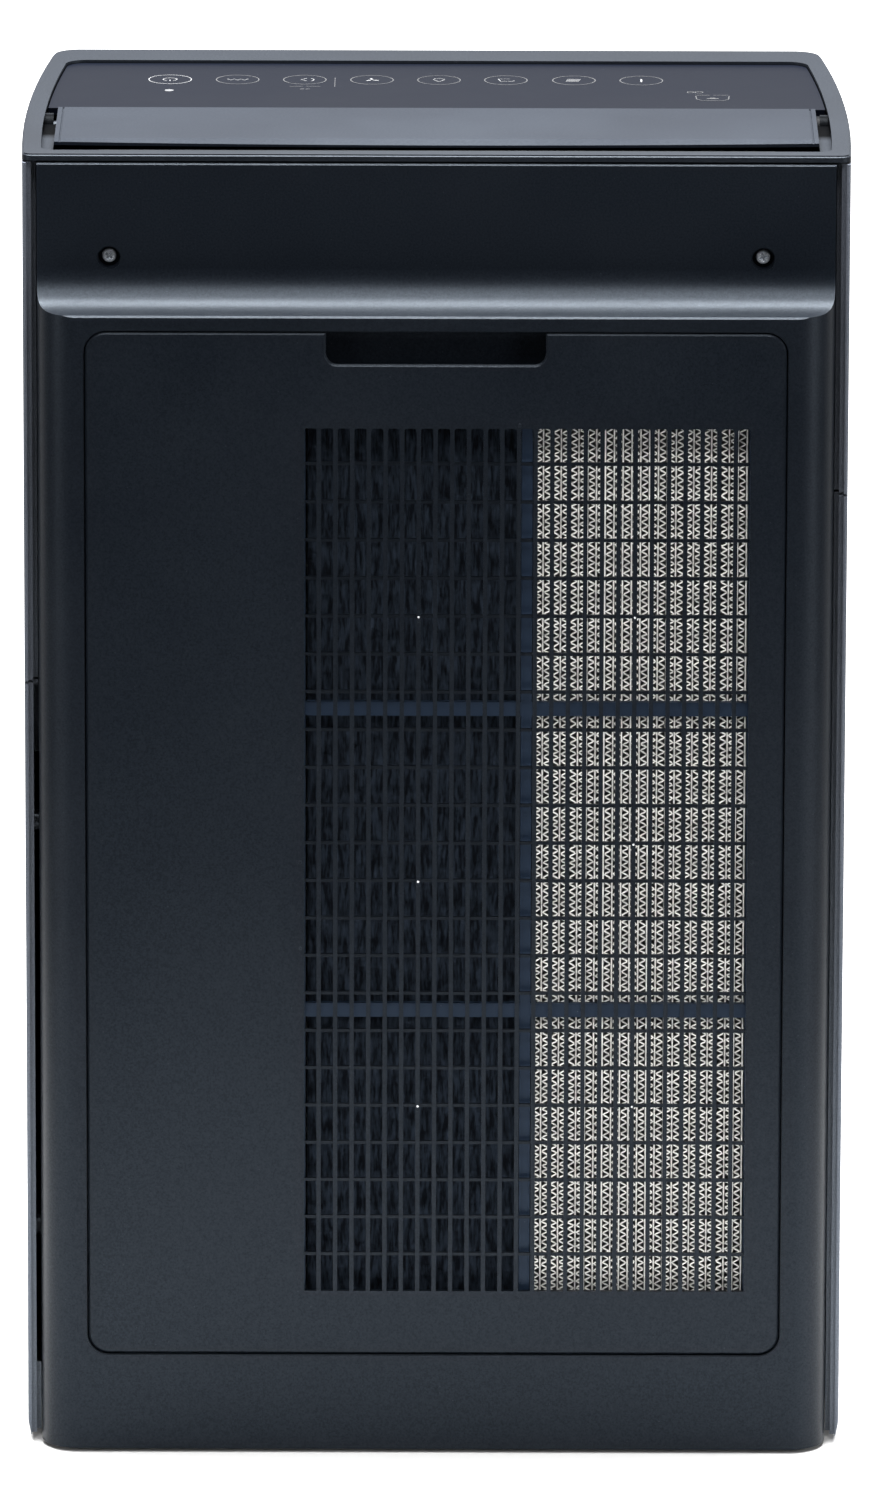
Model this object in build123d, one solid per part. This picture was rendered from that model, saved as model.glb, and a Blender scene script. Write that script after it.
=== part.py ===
from build123d import *
from math import cos, pi, radians, sin
import os

# Floor-standing humidifying air purifier. Front faces -Y, rear faces +Y, +Z is up.
# The origin lies on the floor, in the middle of the plan. All sizes are in millimetres.

# Overall envelope
body_width = 396.0
body_depth = 265.0
body_height = 639.0
foot_height = 2.0

# Plan curve shared by the cap, the side panels, the front panel and the casing
side_sweep = 1500.0
widest_behind_middle = 52.0
front_corner = 13.0
belly_corner = 18.0

# Walls, gaps and fits
casing_wall = 3.0
skin = 3.4
flank_gap = 3.4
skin_round = 1.2
skin_edge = 1.8
lip_width = 0.8
lip_setback = 3.0
seam = 0.6
play = 0.3
run_fit = 0.05
thin_wall = 2.5

# Rear casing
upper_recess = 19.5
upper_wall_height = 74.2
casing_front_setback = 22.5
wall_edge = 0.8
cove_edge = 0.9
rim_step = 0.4
cap_seam = 1.0

# Back panel and its intake grille
panel_side_margin = 24.4
panel_top_margin = 8.0
panel_floor_gap = 50.2
panel_corner = 10.0
panel_plate = 2.6
panel_lip_depth = 6.0
panel_lip = 2.0
panel_edge_chamfer = 1.0
pocket_depth = 12.0
notch_width = 104.6
notch_depth = 15.4
notch_corner = 5.5
slot_columns = 27
slot_rows = 23
rib = 2.1
cross_bar = 1.5
cross_bar_depth = 1.6
grille_side_margin = 17.0
grille_blank = 104.3
grille_top_margin = 46.5
grille_bottom_margin = 31.7
slot_corner = 1.2
tab_width = 22.0
tab_side_inset = 46.8
catch_width = 12.0
catch_height = 6.0
catch_side_inset = 71.8

# Filters
filter_overlap = 9.8
filter_gap = 2.3
deodoriser_depth = 15.3
filter_face = 3.0
mullion = 5.3
frame_bar = 6.9
filter_rows = 3
hepa_depth = 36.0
hepa_rim = 9.0
pleat_count = 36
pleat_sheet = 1.6
bay_depth = 51.0

# Top cap, control panel and louver
cap_edge = 3.2
cap_front_setback = 2.5
cap_round = 0.4
cap_step = 0.5
cap_step_width = 0.9
cap_rear_inset = 0.6
cap_rear_corner = 5.0
opening_inset = 9.2
opening_front_band = 26.0
opening_rear_band = 9.5
opening_front_corner = 10.0
opening_rear_corner = 6.0
skirt_wall = 2.4
skirt_depth = 24.0
control_drop = 1.5
control_thickness = 3.4
control_length = 105.0
ledge_width = 4.0
key_count = 8
key_margin_right = 58.9
key_margin_left = 89.3
key_radius = 10.3
key_row_from_front = 41.0
lens_radius = 2.2
lens_from_keys = 22.5
flap_length = 80.0
flap_end_gap = 6.4
flap_front_gap = 4.3
flap_tail = 9.5
flap_tail_drop = 1.2
flap_sweep = 4200.0
flap_edge = 0.6
flap_thickness = 3.2
flap_nose = 8.3
flap_cheek = 9.0
flap_tip = 1.1
cheek_wall = 2.4
groove = 0.9
groove_inset = 2.6
end_ledge_drop = 5.0
end_ledge = 4.0
louver_pin = 3.0
louver_motor_radius = 6.2
louver_motor_length = 36.0
louver_shaft = 2.0
louver_shaft_length = 10.0
motor_room = 0.6

# Air path
partition_y = 6.0
scroll_depth = 84.0
scroll_step = 14.0
scroll_side_gap = 2.0
fan_z = 300.0
tongue_rise = 27.0
blade_count = 24
blade_sheet = 1.8
blade_length = 21.0
tip_gap = 13.0
impeller_end_gap = 6.0
bell_lip = 3.0
bell_reach = 4.0
throat_side_margin = 28.8
throat_front_gap = 8.6
throat_rear_gap = 11.0
guard_bars = 26
guard_bar = 2.0
guard_height = 4.0
guard_rings = 3
guard_spokes = 6
motor_radius = 42.0
motor_length = 24.0
motor_plate = 3.5
shaft_radius = 4.0
hub_radius = 15.0
hub_length = 34.0
nut_flats = 13.0
nut_length = 6.0

# Humidifier
gear_module = 4.0
wheel_teeth = 46
pinion_teeth = 12
gear_face_width = 10.0
pinion_angle = 20.0
wheel_thickness = 24.0
wheel_x = -60.0
wheel_front_y = 22.0
wheel_floor_gap = 5.5
wheel_spokes = 6
axle_radius = 5.0
axle_hub = 12.0
tray_wall = 2.5
tray_height = 50.0
tray_depth = 54.0
tray_front_y = 12.0
tray_low_end = 32.0
gear_motor_radius = 24.0
gear_motor_length = 13.5
pinion_shaft = 2.5

# Water tank
tank_gap = 30.0
tank_front_y = -70.0
tank_back_y = 100.0
tank_floor = 58.0
tank_top_z = 372.0
tank_corner = 10.0
tank_wall = 2.5
tank_face_inset = 9.0
tank_cap_radius = 28.0
tank_cap_height = 15.0
tank_neck_radius = 22.0
tank_seal = 1.0
tank_lid_thickness = 3.0
tank_lid_rib = 1.5
pull_width = 80.0
pull_height = 30.0
pull_depth = 16.0
pull_below_top = 8.0
side_seam_right = 380.0
side_seam_left = 473.5
side_floor_gap = 1.0
side_bevel = 1.4
side_bevel_height = 7.0

# Base, boards, sensor and fasteners
base_thickness = 4.0
foot_radius = 11.0
foot_side_inset = 48.0
foot_end_inset = 42.5
boss_size = 14.0
boss_height = 22.0
screw_recess_radius = 5.3
screw_recess_depth = 7.0
screw_boss = 13.0
lug_thickness = 4.5
screw_head_radius = 3.4
screw_head_height = 2.6
screw_shank = 1.9
screw_length = 15.0
rear_screw_side_inset = 42.4
rear_screw_below_top = 50.2
board_thickness = 1.6
sensor_slots = 5
gland_radius = 6.0


def flank_dip(y):
    """How far the bowed flank lies inside its widest place, at y."""
    return (y - widest_behind_middle) ** 2 / (2 * side_sweep - body_width)


# Derived positions
rear_y = body_depth / 2
front_y = -body_depth / 2
half_width = body_width / 2
flank_inset = skin + flank_gap
inner_inset = flank_inset + casing_wall
inner_half = half_width - inner_inset
upper_wall_y = rear_y - upper_recess
belly_top = body_height - upper_wall_height
cap_front = front_y + cap_front_setback
cap_back = upper_wall_y - cap_rear_inset
cap_bottom = body_height - cap_edge
casing_top = cap_bottom - cap_seam
casing_front = front_y + casing_front_setback
floor_z = foot_height + base_thickness

panel_half = half_width - flank_inset - panel_side_margin
panel_width = 2 * panel_half
panel_bottom = panel_floor_gap
panel_top = belly_top - panel_top_margin
panel_height = panel_top - panel_bottom
panel_mid = (panel_top + panel_bottom) / 2
pocket_y = rear_y - pocket_depth
ledge_y = pocket_y - thin_wall

grille_left = -panel_half + grille_side_margin
grille_right = panel_half - grille_blank
grille_x = (grille_left + grille_right) / 2
grille_width = grille_right - grille_left
grille_top = panel_top - grille_top_margin
grille_bottom = panel_bottom + grille_bottom_margin
grille_height = grille_top - grille_bottom
grille_mid = (grille_top + grille_bottom) / 2
column_pitch = (grille_width + rib) / slot_columns
slot_width = column_pitch - rib
row_pitch = (grille_height + cross_bar) / slot_rows

filter_width = grille_width + 2 * filter_overlap
filter_height = grille_height + 2 * filter_overlap + 11.0
filter_back = rear_y - panel_plate - cross_bar_depth - filter_gap
deodoriser_front = filter_back - deodoriser_depth
hepa_back = deodoriser_front - play
hepa_front = hepa_back - hepa_depth
bay_front = ledge_y - bay_depth
bay_width = filter_width + 2 * play
bay_height = filter_height + 2 * play
bay_right = grille_x + bay_width / 2 + thin_wall

opening_front = cap_front + opening_front_band
opening_back = cap_back - opening_rear_band
opening_half = half_width - opening_inset
control_back = opening_front + control_length
control_top = body_height - control_drop
control_bottom = control_top - control_thickness
skirt_bottom = cap_bottom - skirt_depth
flap_front = control_back + flap_front_gap
flap_back = flap_front + flap_length
flap_half = opening_half - flap_end_gap
throat_half_width = opening_half - throat_side_margin
key_pitch = (2 * opening_half - key_margin_right - key_margin_left) / (key_count - 1)
hinge_y = flap_front + flap_nose
hinge_z = body_height - flap_nose

scroll_front = partition_y - scroll_depth
tank_left = bay_right + tank_gap
tank_right = half_width - tank_face_inset
scroll_left = -inner_half + flank_dip(scroll_front - thin_wall) + scroll_side_gap + thin_wall
scroll_right = tank_left - scroll_side_gap - thin_wall - 9.0
scroll_radius = (scroll_right - scroll_left - 3 * scroll_step) / 2
fan_x = scroll_right - scroll_radius
scroll_top = fan_z + scroll_radius + tongue_rise
fan_radius = scroll_radius - tip_gap
bell_radius = fan_radius - 8.0
duct_top = skirt_bottom
throat_front = opening_front + control_length + throat_front_gap
throat_back = opening_back - throat_rear_gap

wheel_pitch_radius = gear_module * wheel_teeth / 2
pinion_pitch_radius = gear_module * pinion_teeth / 2
wheel_tip_radius = wheel_pitch_radius + 0.9 * gear_module
wheel_root_radius = wheel_pitch_radius - 1.15 * gear_module
wheel_rim_radius = wheel_root_radius - 5.0
wheel_z = floor_z + tray_wall + wheel_floor_gap + wheel_tip_radius
wheel_back_y = wheel_front_y + wheel_thickness
gear_front_y = wheel_front_y + 2.0
mesh_distance = wheel_pitch_radius + pinion_pitch_radius
pinion_x = wheel_x + mesh_distance * cos(radians(pinion_angle))
pinion_z = wheel_z + mesh_distance * sin(radians(pinion_angle))
tray_back_y = tray_front_y + tray_depth
tray_left = wheel_x - wheel_tip_radius - 8.0
tray_right = tank_right - 12.0
tank_mid_x = (tank_left + tank_right) / 2
tank_cap_y = (tray_front_y + tray_back_y) / 2
tank_cap_bottom = tank_floor - tank_cap_height
tank_neck_end = tank_cap_bottom + 3.0
pull_top = tank_top_z - pull_below_top
pull_mid_y = (tank_front_y + tank_back_y) / 2
pull_mid_z = pull_top - pull_height / 2
rear_screw_z = body_height - rear_screw_below_top
rear_screw_x = half_width - rear_screw_side_inset
tab_x = panel_half - tab_side_inset
catch_x = panel_half - catch_side_inset
lug_front = upper_wall_y - screw_boss - lug_thickness


def block(x0, x1, y0, y1, z0, z1):
    """Box between two corners."""
    middle = Pos((x0 + x1) / 2, (y0 + y1) / 2, (z0 + z1) / 2)
    return middle * Box(x1 - x0, y1 - y0, z1 - z0)


def prism(face, z0, z1):
    """Plan face raised from z0 to z1."""
    return extrude(Pos(0, 0, z0) * face, amount=z1 - z0, dir=(0, 0, 1))


def across(face, y0, y1):
    """Face drawn in x and z, given depth from y0 to y1."""
    return extrude(Plane((0, y1, 0), (1, 0, 0), (0, -1, 0)) * face, amount=y1 - y0, dir=(0, -1, 0))


def along(face, x0, x1):
    """Face drawn in y and z, given length from x0 to x1."""
    return extrude(Plane((x0, 0, 0), (0, 1, 0), (1, 0, 0)) * face, amount=x1 - x0, dir=(1, 0, 0))


def mirror_x(x):
    """The two places mirrored about the middle plane."""
    return (-x, x)


def plan(inset, front, back, front_round=0.0, back_round=0.0):
    """Plan outline: two bowed flanks between straight front and back edges."""
    bow = Circle(side_sweep - inset)
    shift = half_width - side_sweep
    band = Pos(0, (front + back) / 2) * Rectangle(2 * body_width, back - front)
    face = band & (Pos(shift, widest_behind_middle) * bow) & (Pos(-shift, widest_behind_middle) * bow)
    if front_round > 0:
        face = fillet(face.vertices().sort_by(Axis.Y)[:2], front_round)
    if back_round > 0:
        face = fillet(face.vertices().sort_by(Axis.Y)[-2:], back_round)
    return face


def recess_cut(grow):
    """Space behind the recessed upper wall, with the cove at its foot, grown into the wall."""
    radius = upper_recess + grow
    centre_z = belly_top + upper_recess
    wall_y = rear_y - radius
    high = body_height + casing_wall
    far = rear_y + casing_wall
    low = belly_top - grow
    sides = Polyline((rear_y, low), (far, low), (far, high), (wall_y, high), (wall_y, centre_z))
    middle = (rear_y - radius * cos(pi / 4), centre_z - radius * sin(pi / 4))
    cove = ThreePointArc((wall_y, centre_z), middle, (rear_y, low))
    return along(make_face(sides + cove), -body_width, body_width)


def edge_cut(y, z, size):
    """Wedge that breaks a long upper edge at y and z."""
    spare = size + 1
    corners = ((y - size, z), (y - size, z + 1), (y + 1, z + 1), (y + 1, z - spare))
    return along(make_face(Polyline(*corners, close=True)), -body_width, body_width)


def panel_outline(grow):
    """Outline of the back panel, grown evenly."""
    size = RectangleRounded(panel_width + 2 * grow, panel_height + 2 * grow, panel_corner + grow)
    return Pos(0, panel_mid) * size


def gear_outline(teeth, start_angle, half_tooth):
    """Straight-flanked gear teeth about the origin, one tooth centred on start_angle."""
    pitch_radius = gear_module * teeth / 2
    tip = pitch_radius + 0.9 * gear_module
    root = pitch_radius - 1.15 * gear_module
    slope = 0.116
    widths = (half_tooth + 1.15 * slope, half_tooth - 0.9 * slope)
    corners = ((root, -widths[0]), (tip, -widths[1]), (tip, widths[1]), (root, widths[0]))
    step = 360 / teeth
    points = []
    for tooth in range(teeth):
        for radius, turn in corners:
            angle = radians(start_angle + (tooth + turn) * step)
            points.append((radius * cos(angle), radius * sin(angle)))
    return make_face(Polyline(*points, close=True))


# Outer shells


def rear_casing():
    """Main shell: belly, cove, recessed upper wall, panel pocket and filter bay."""
    outer = prism(plan(flank_inset, casing_front, rear_y, 0, belly_corner), foot_height, casing_top)
    inner_plan = plan(inner_inset, casing_front - 1, rear_y - casing_wall, 0, belly_corner - casing_wall)
    inner = prism(inner_plan, 0, body_height) - recess_cut(casing_wall)
    shell = outer - recess_cut(0) - inner
    shell -= block(-body_width, body_width, front_y, upper_wall_y - 6, skirt_bottom - 6, body_height)
    shell -= edge_cut(upper_wall_y, casing_top, wall_edge)
    shell -= edge_cut(rear_y, belly_top, cove_edge)

    pocket = across(panel_outline(seam + casing_wall), ledge_y, rear_y - casing_wall)
    bay = Pos(grille_x, grille_mid) * Rectangle(bay_width + 2 * thin_wall, bay_height + 2 * thin_wall)
    window = Pos(grille_x, grille_mid) * Rectangle(bay_width, bay_height)
    shell += pocket
    shell += across(bay, bay_front, pocket_y)
    shell -= across(panel_outline(seam), pocket_y, rear_y + 1)
    shell -= across(panel_outline(seam + rim_step), rear_y - rim_step, rear_y + 1)
    shell -= across(window, bay_front - 1, rear_y)

    for x in mirror_x(rear_screw_x):
        spot = Pos(x, rear_screw_z)
        shell += across(spot * Circle(screw_recess_radius + thin_wall), upper_wall_y - screw_boss, upper_wall_y - 2)
        shell -= across(spot * Circle(screw_recess_radius), upper_wall_y - screw_recess_depth, upper_wall_y + 1)
        shell -= across(spot * Circle(screw_recess_radius + rim_step), upper_wall_y - rim_step, upper_wall_y + 1)
        shell -= across(spot * Circle(screw_shank + play), upper_wall_y - 20, upper_wall_y)
    for x in mirror_x(tab_x):
        reach = tab_width / 2 + 1
        shell -= block(x - reach, x + reach, pocket_y, rear_y - 3, panel_bottom - 8, panel_bottom)
    for x in mirror_x(catch_x):
        reach = catch_width / 2 + 1
        shell -= block(x - reach, x + reach, ledge_y - 1, pocket_y + 1, panel_top - 18, panel_top - 8)
    for x, y in base_bosses():
        size = boss_size / 2
        shell += block(x - size, x + size, y - size, y + size, floor_z, floor_z + boss_height)
        web = block(x - boss_size, x + boss_size, y - thin_wall, y + thin_wall, floor_z, floor_z + boss_height)
        shell += web & outer
        shell -= Pos(x, y, floor_z) * Cylinder(screw_shank + play, boss_height)
    shell -= tank_window()
    sensor_y = sensor_limits()
    shell -= block(-body_width, -inner_half + 4, sensor_y[0] + 8, sensor_y[1] - 8, side_seam_left + 25, side_seam_left + 50)
    return shell


def tank_window():
    """Way of the water tank and its cap through the flank."""
    low = tank_cap_bottom - 2
    return block(inner_half - 30, body_width, tank_front_y - 1, tank_back_y + 1, low, tank_top_z + 2)


def base_bosses():
    """Plan places of the four bosses that stand on the base plate."""
    reach_x = inner_half - boss_size
    return [(x, y) for x in mirror_x(reach_x) for y in (casing_front + 20, rear_y - 30)]


def base_plate():
    """Floor of the body, with the rails that carry the water tank."""
    outline = plan(inner_inset + play, casing_front, rear_y - casing_wall - play, 0, belly_corner - casing_wall)
    plate = prism(outline, foot_height, floor_z)
    for x, y in base_bosses():
        plate -= Pos(x, y, foot_height) * Cylinder(screw_shank + play, 4 * base_thickness)
    plate -= Pos(*gland_spot(), foot_height) * Cylinder(gland_radius + run_fit, 4 * base_thickness)
    for y in (tank_front_y + 12, tank_back_y - 15):
        plate += block(tank_left + 4, inner_half - flank_dip(tank_front_y) - 2, y, y + tray_wall, floor_z, tank_floor - play)
    for x, y in foot_spots():
        plate -= Pos(x, y, foot_height) * Cylinder(foot_radius / 2, 2 * base_thickness)
    return plate


def foot_spots():
    """Plan places of the rubber feet."""
    return [(x, y) for x in mirror_x(half_width - foot_side_inset) for y in mirror_x(body_depth / 2 - foot_end_inset)]


def gland_spot():
    """Plan place of the gland of the mains lead, under the base."""
    return (-inner_half + 75, casing_front + 24)


def rubber_feet():
    """Four domed feet, each with a plug in the base plate."""
    feet = []
    for x, y in foot_spots():
        pad = Pos(x, y, foot_height / 2) * Cylinder(foot_radius, foot_height)
        pad = chamfer(pad.edges().sort_by(Axis.Z)[0], foot_height / 2)
        plug = Pos(x, y, foot_height + base_thickness / 2) * Cylinder(foot_radius / 2 - run_fit, base_thickness)
        feet.append(pad + plug)
    return feet


def base_screws():
    """Screws from under the base plate into the casing's bosses."""
    screws = []
    for x, y in base_bosses():
        head = Pos(x, y, foot_height - 0.6) * Cylinder(screw_head_radius, 1.2)
        shank = Pos(x, y, foot_height + screw_length / 2) * Cylinder(screw_shank, screw_length)
        screws.append(head + shank)
    return screws


def cord_gland():
    """Bush where the mains lead enters, under the base."""
    x, y = gland_spot()
    bush = Pos(x, y, foot_height + base_thickness) * Cylinder(gland_radius, 2 * base_thickness)
    collar = Pos(x, y, floor_z + 1.5) * Cylinder(gland_radius + 2, 3)
    return bush + collar - Pos(x, y, floor_z) * Cylinder(gland_radius - 2.2, 6 * base_thickness)


def front_panel():
    """Front cover: a shallow tray with ribs that land on the casing's front edges."""
    low = foot_height + side_floor_gap
    back = casing_front + 2.5
    outer = prism(plan(play, front_y, back, front_corner), low, casing_top)
    outer = fillet(outer.faces().sort_by(Axis.Y)[0].edges(), 2.0)
    hollow = plan(play + casing_wall, front_y + casing_wall, back + 1, front_corner - casing_wall)
    tray = outer - prism(hollow, low + casing_wall, casing_top - casing_wall)
    tray -= prism(plan(play + casing_wall, casing_front - play, back + 1), 0, body_height)
    ribs = prism(plan(flank_inset, front_y + 1, casing_front), low + 1, casing_top - 1)
    ribs -= prism(plan(inner_inset, front_y, casing_front + 1), low, casing_top)
    return tray + (ribs & prism(plan(play + 1, front_y + 1, casing_front), low + 1, casing_top - 1))


def side_skin(z0, z1, sign):
    """One bowed side panel between two heights, with a stepped rear edge and ribs towards the flank."""
    front = casing_front + 2.5 + seam
    back = upper_wall_y
    lip_y = back - lip_setback
    inner = plan(flank_inset - play, front_y, rear_y)
    half = Pos(sign * body_width / 2, 0) * Rectangle(body_width, 2 * body_depth)
    ring = plan(0, front, back, 0, skin_round) - plan(skin, front - 1, rear_y) - plan(skin_edge, lip_y, rear_y)
    lip = plan(skin / 2, lip_y - 2, lip_y) - plan(skin + lip_width, front_y, rear_y)
    stop = plan(skin / 2, back - 11, back - 9) - inner
    panel = prism((ring + lip + stop) & half, z0, z1)
    ribs = (plan(skin / 2, front, back - 10) - inner) & half
    for z in (z0 + 6, (z0 + z1) / 2, z1 - 8):
        panel += prism(ribs, z, z + 2)
    return panel


def half_span(sign):
    """Limits in x of one half of the body."""
    return (0, body_width) if sign > 0 else (-body_width, 0)


def lower_bevel(sign):
    """Wedge cut off the lower outer edge of a side panel."""
    z0 = foot_height + side_floor_gap
    z1 = z0 + side_bevel_height
    core = loft([Pos(0, 0, z0) * plan(side_bevel, front_y, rear_y), Pos(0, 0, z1) * plan(0, front_y, rear_y)])
    return (prism(plan(-1, front_y, rear_y), z0, z1) - core) & block(*half_span(sign), front_y, rear_y, z0, z1)


def side_panel_right():
    """Fixed upper side panel on the tank side."""
    return side_skin(side_seam_right + seam, casing_top, 1)


def side_panel_left():
    """Fixed lower side panel on the filter side."""
    return side_skin(foot_height + side_floor_gap, side_seam_left - seam, -1) - lower_bevel(-1)


def sensor_cover():
    """Fixed upper side panel on the filter side, with the air slots of the dust sensor."""
    panel = side_skin(side_seam_left + seam, casing_top, -1)
    low, high = sensor_limits()
    for slot in range(sensor_slots):
        z = side_seam_left + 26 + slot * 5
        panel -= block(-body_width, -half_width + 12, low + 8, high - 8, z, z + 2.4)
    return panel


def sensor_limits():
    """Limits in y of the dust sensor, behind the filter bay's side."""
    return (ledge_y - 44, ledge_y - 8)


# Back panel


def back_panel():
    """Back panel with its grille: upright ribs in the plate, cross bars behind them."""
    notch = Pos(0, panel_top) * RectangleRounded(notch_width, 2 * notch_depth, notch_corner)
    slot = Rectangle(slot_width, grille_height)
    slot = fillet(slot.vertices().group_by(Axis.Y)[-1], slot_corner)
    first = grille_left + slot_width / 2
    slots = [Pos(first + column * column_pitch, grille_mid) * slot for column in range(slot_columns)]
    outline = panel_outline(0)
    plate_front = rear_y - panel_plate
    blank = across(outline - notch, plate_front, rear_y)
    rear_face = blank.faces().sort_by(Axis.Y)[-1]
    blank = chamfer(rear_face.edges(), panel_edge_chamfer)
    plate = blank - across(Sketch() + slots, plate_front - 1, rear_y + 1)

    lip = across(outline - panel_outline(-panel_lip) - notch, rear_y - panel_lip_depth, plate_front)
    bars = []
    for row in range(1, slot_rows):
        z = grille_bottom + row * row_pitch - cross_bar
        bars.append(block(grille_left - 2, grille_right + 2, plate_front - cross_bar_depth, plate_front, z, z + cross_bar))
    tabs = []
    for x in mirror_x(tab_x):
        reach = tab_width / 2
        tabs.append(block(x - reach, x + reach, rear_y - 8.5, rear_y - panel_lip_depth, panel_bottom - 5, panel_bottom + 6))
    for x in mirror_x(catch_x):
        reach = catch_width / 2
        high = panel_top - 10
        tabs.append(block(x - reach, x + reach, ledge_y, plate_front, high - catch_height, high))
    return plate + lip + bars + tabs


# Filters


def deodoriser_frame():
    """Filter frame of two bays; its rear face has a window for each part of a bay."""
    outer = Pos(grille_x, grille_mid) * Rectangle(filter_width, filter_height)
    windows = []
    tall = (media_height() - (filter_rows - 1) * frame_bar) / filter_rows
    for x in bay_middles():
        for row in range(filter_rows):
            z = grille_mid + (row - (filter_rows - 1) / 2) * (tall + frame_bar)
            windows.append(Pos(x, z) * Rectangle(media_width(), tall))
    bays = [Pos(x, grille_mid) * Rectangle(media_width(), media_height()) for x in bay_middles()]
    face = across(outer - windows, filter_back - filter_face, filter_back)
    return face + across(outer - bays, deodoriser_front, filter_back - filter_face)


def media_width():
    """Width of one bay of the deodorising filter."""
    return (filter_width - 3 * mullion - 10.0) / 2


def media_height():
    """Height of both bays."""
    return filter_height - 2 * filter_overlap + 3.0


def bay_middles():
    """Places in x of the two bays, carbon first."""
    reach = (mullion + media_width()) / 2
    return (grille_x + reach, grille_x - reach)


def media_block(x):
    """Block of media in the bay at x."""
    size = Rectangle(media_width() - 2 * play, media_height() - 2 * play)
    return across(Pos(x, grille_mid) * size, deodoriser_front, filter_back - filter_face)


def carbon_pack():
    """Dark carbon media."""
    return media_block(bay_middles()[0])


def honeycomb_block():
    """White corrugated media."""
    return media_block(bay_middles()[1])


def hepa_frame():
    """Rim of the fine filter."""
    outer = Pos(grille_x, grille_mid) * Rectangle(filter_width, filter_height)
    inner = Pos(grille_x, grille_mid) * Rectangle(filter_width - 2 * hepa_rim, filter_height - 2 * hepa_rim)
    return across(outer - inner, hepa_front, hepa_back)


def hepa_pleats():
    """Pleated sheet inside the rim, folded back and forth across the air."""
    width = filter_width - 2 * hepa_rim - 2 * play
    pitch = width / (2 * pleat_count)
    left = grille_x - width / 2
    edges = (hepa_front + 2, hepa_back - 2 - pleat_sheet)
    near = [(left + fold * pitch, edges[fold % 2]) for fold in range(2 * pleat_count + 1)]
    far = [(x, y + pleat_sheet) for x, y in reversed(near)]
    half = (filter_height - 2 * hepa_rim) / 2 - play
    return prism(make_face(Polyline(*near, *far, close=True)), grille_mid - half, grille_mid + half)


# Top


def top_opening(grow):
    """Outline of the opening in the cap, grown outwards evenly."""
    return plan(
        opening_inset - grow,
        opening_front - grow,
        opening_back + grow,
        opening_front_corner + grow,
        opening_rear_corner + grow,
    )


def top_cover():
    """Cap: a rim round the opening, with a skirt, a ledge for the control panel and the louver's seats."""
    step_z = body_height - cap_step
    slab = prism(plan(0, cap_front, cap_back, front_corner, cap_rear_corner), cap_bottom, step_z)
    slab = chamfer(slab.faces().sort_by(Axis.Z)[-1].edges(), cap_round)
    inner_edge = (cap_front + cap_step_width, cap_back - cap_step_width)
    corners = (front_corner - cap_step_width, cap_rear_corner - cap_step_width)
    slab += prism(plan(cap_step_width, *inner_edge, *corners), step_z - 1, body_height)
    cover = slab - prism(top_opening(0), cap_bottom - 1, body_height + 1)
    cover += prism(top_opening(skirt_wall) - top_opening(0), skirt_bottom, cap_bottom + 1)

    ledge = prism(top_opening(0.5), control_bottom - 2, control_bottom)
    ledge -= prism(top_opening(-ledge_width), 0, body_height)
    cover += ledge & block(-body_width, body_width, front_y, control_back, 0, body_height)

    ledge_top = body_height - end_ledge_drop
    ends = prism(top_opening(0.5), ledge_top - end_ledge, ledge_top)
    ends -= block(-flap_half - seam, flap_half + seam, front_y, rear_y, 0, body_height)
    cover += ends & block(-half_width, half_width, hinge_y + flap_nose + seam, rear_y, 0, body_height)

    seat = Pos(hinge_y, hinge_z) * Circle(flap_nose - 1.5)
    wall_x = opening_half + skirt_wall / 2
    cover += along(seat, flap_half + 2, wall_x)
    cover += along(seat, -wall_x, -flap_half - 2)
    cover -= along(Pos(hinge_y, hinge_z) * Circle(louver_pin + run_fit), flap_half, half_width - 4)
    lug_y = (lug_front, lug_front + lug_thickness)
    for x in mirror_x(rear_screw_x):
        lug = block(x - 8, x + 8, *lug_y, rear_screw_z - 8, cap_bottom + 1)
        bridge = block(x - 8, x + 8, lug_y[0], opening_back + skirt_wall, skirt_bottom, skirt_bottom + 6)
        cover += lug - block(x - 9, x + 9, lug_y[0] - 1, opening_back, skirt_bottom + 6, body_height) + bridge
        cover -= across(Pos(x, rear_screw_z) * Circle(screw_shank + run_fit), 0, rear_y)
    return cover


def rear_screws():
    """Two screws through the upper wall into the cap's lugs."""
    screws = []
    seat = upper_wall_y - screw_recess_depth
    for x in mirror_x(rear_screw_x):
        spot = Pos(x, rear_screw_z)
        head = across(spot * Circle(screw_head_radius), seat, seat + screw_head_height)
        head = chamfer(head.faces().sort_by(Axis.Y)[-1].edges(), 1.0)
        screws.append(head + across(spot * Circle(screw_shank), seat - screw_length + 4, seat))
    return screws


def key_spots():
    """Plan places of the touch keys, from the +X side."""
    y = opening_front + key_row_from_front
    first = opening_half - key_margin_right
    return [(first - key * key_pitch, y) for key in range(key_count)]


def lens_spot():
    """Plan place of the status light, behind the first key."""
    x, y = key_spots()[0]
    return (x, y + lens_from_keys)


def control_panel():
    """Touch panel, flush in the cap's ledge, with posts that hold the control board."""
    outline = top_opening(-seam) & (Pos(0, control_back - body_depth) * Rectangle(body_width, 2 * body_depth))
    plate = prism(outline, control_bottom, control_top)
    plate -= Pos(*lens_spot(), control_top) * Cylinder(lens_radius + run_fit, 3.0)
    for x, y in board_posts():
        plate += Pos(x, y, control_bottom - 4) * Cylinder(3.0, 8.0)
    return plate


def board_posts():
    """Plan places of the four posts of the control board."""
    y = key_spots()[0][1]
    return [(x, y + side) for x in mirror_x(opening_half - 40) for side in mirror_x(22.0)]


def status_lens():
    """Small light window in the control panel."""
    return Pos(*lens_spot(), control_top - 0.75) * Cylinder(lens_radius, 1.5)


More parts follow.
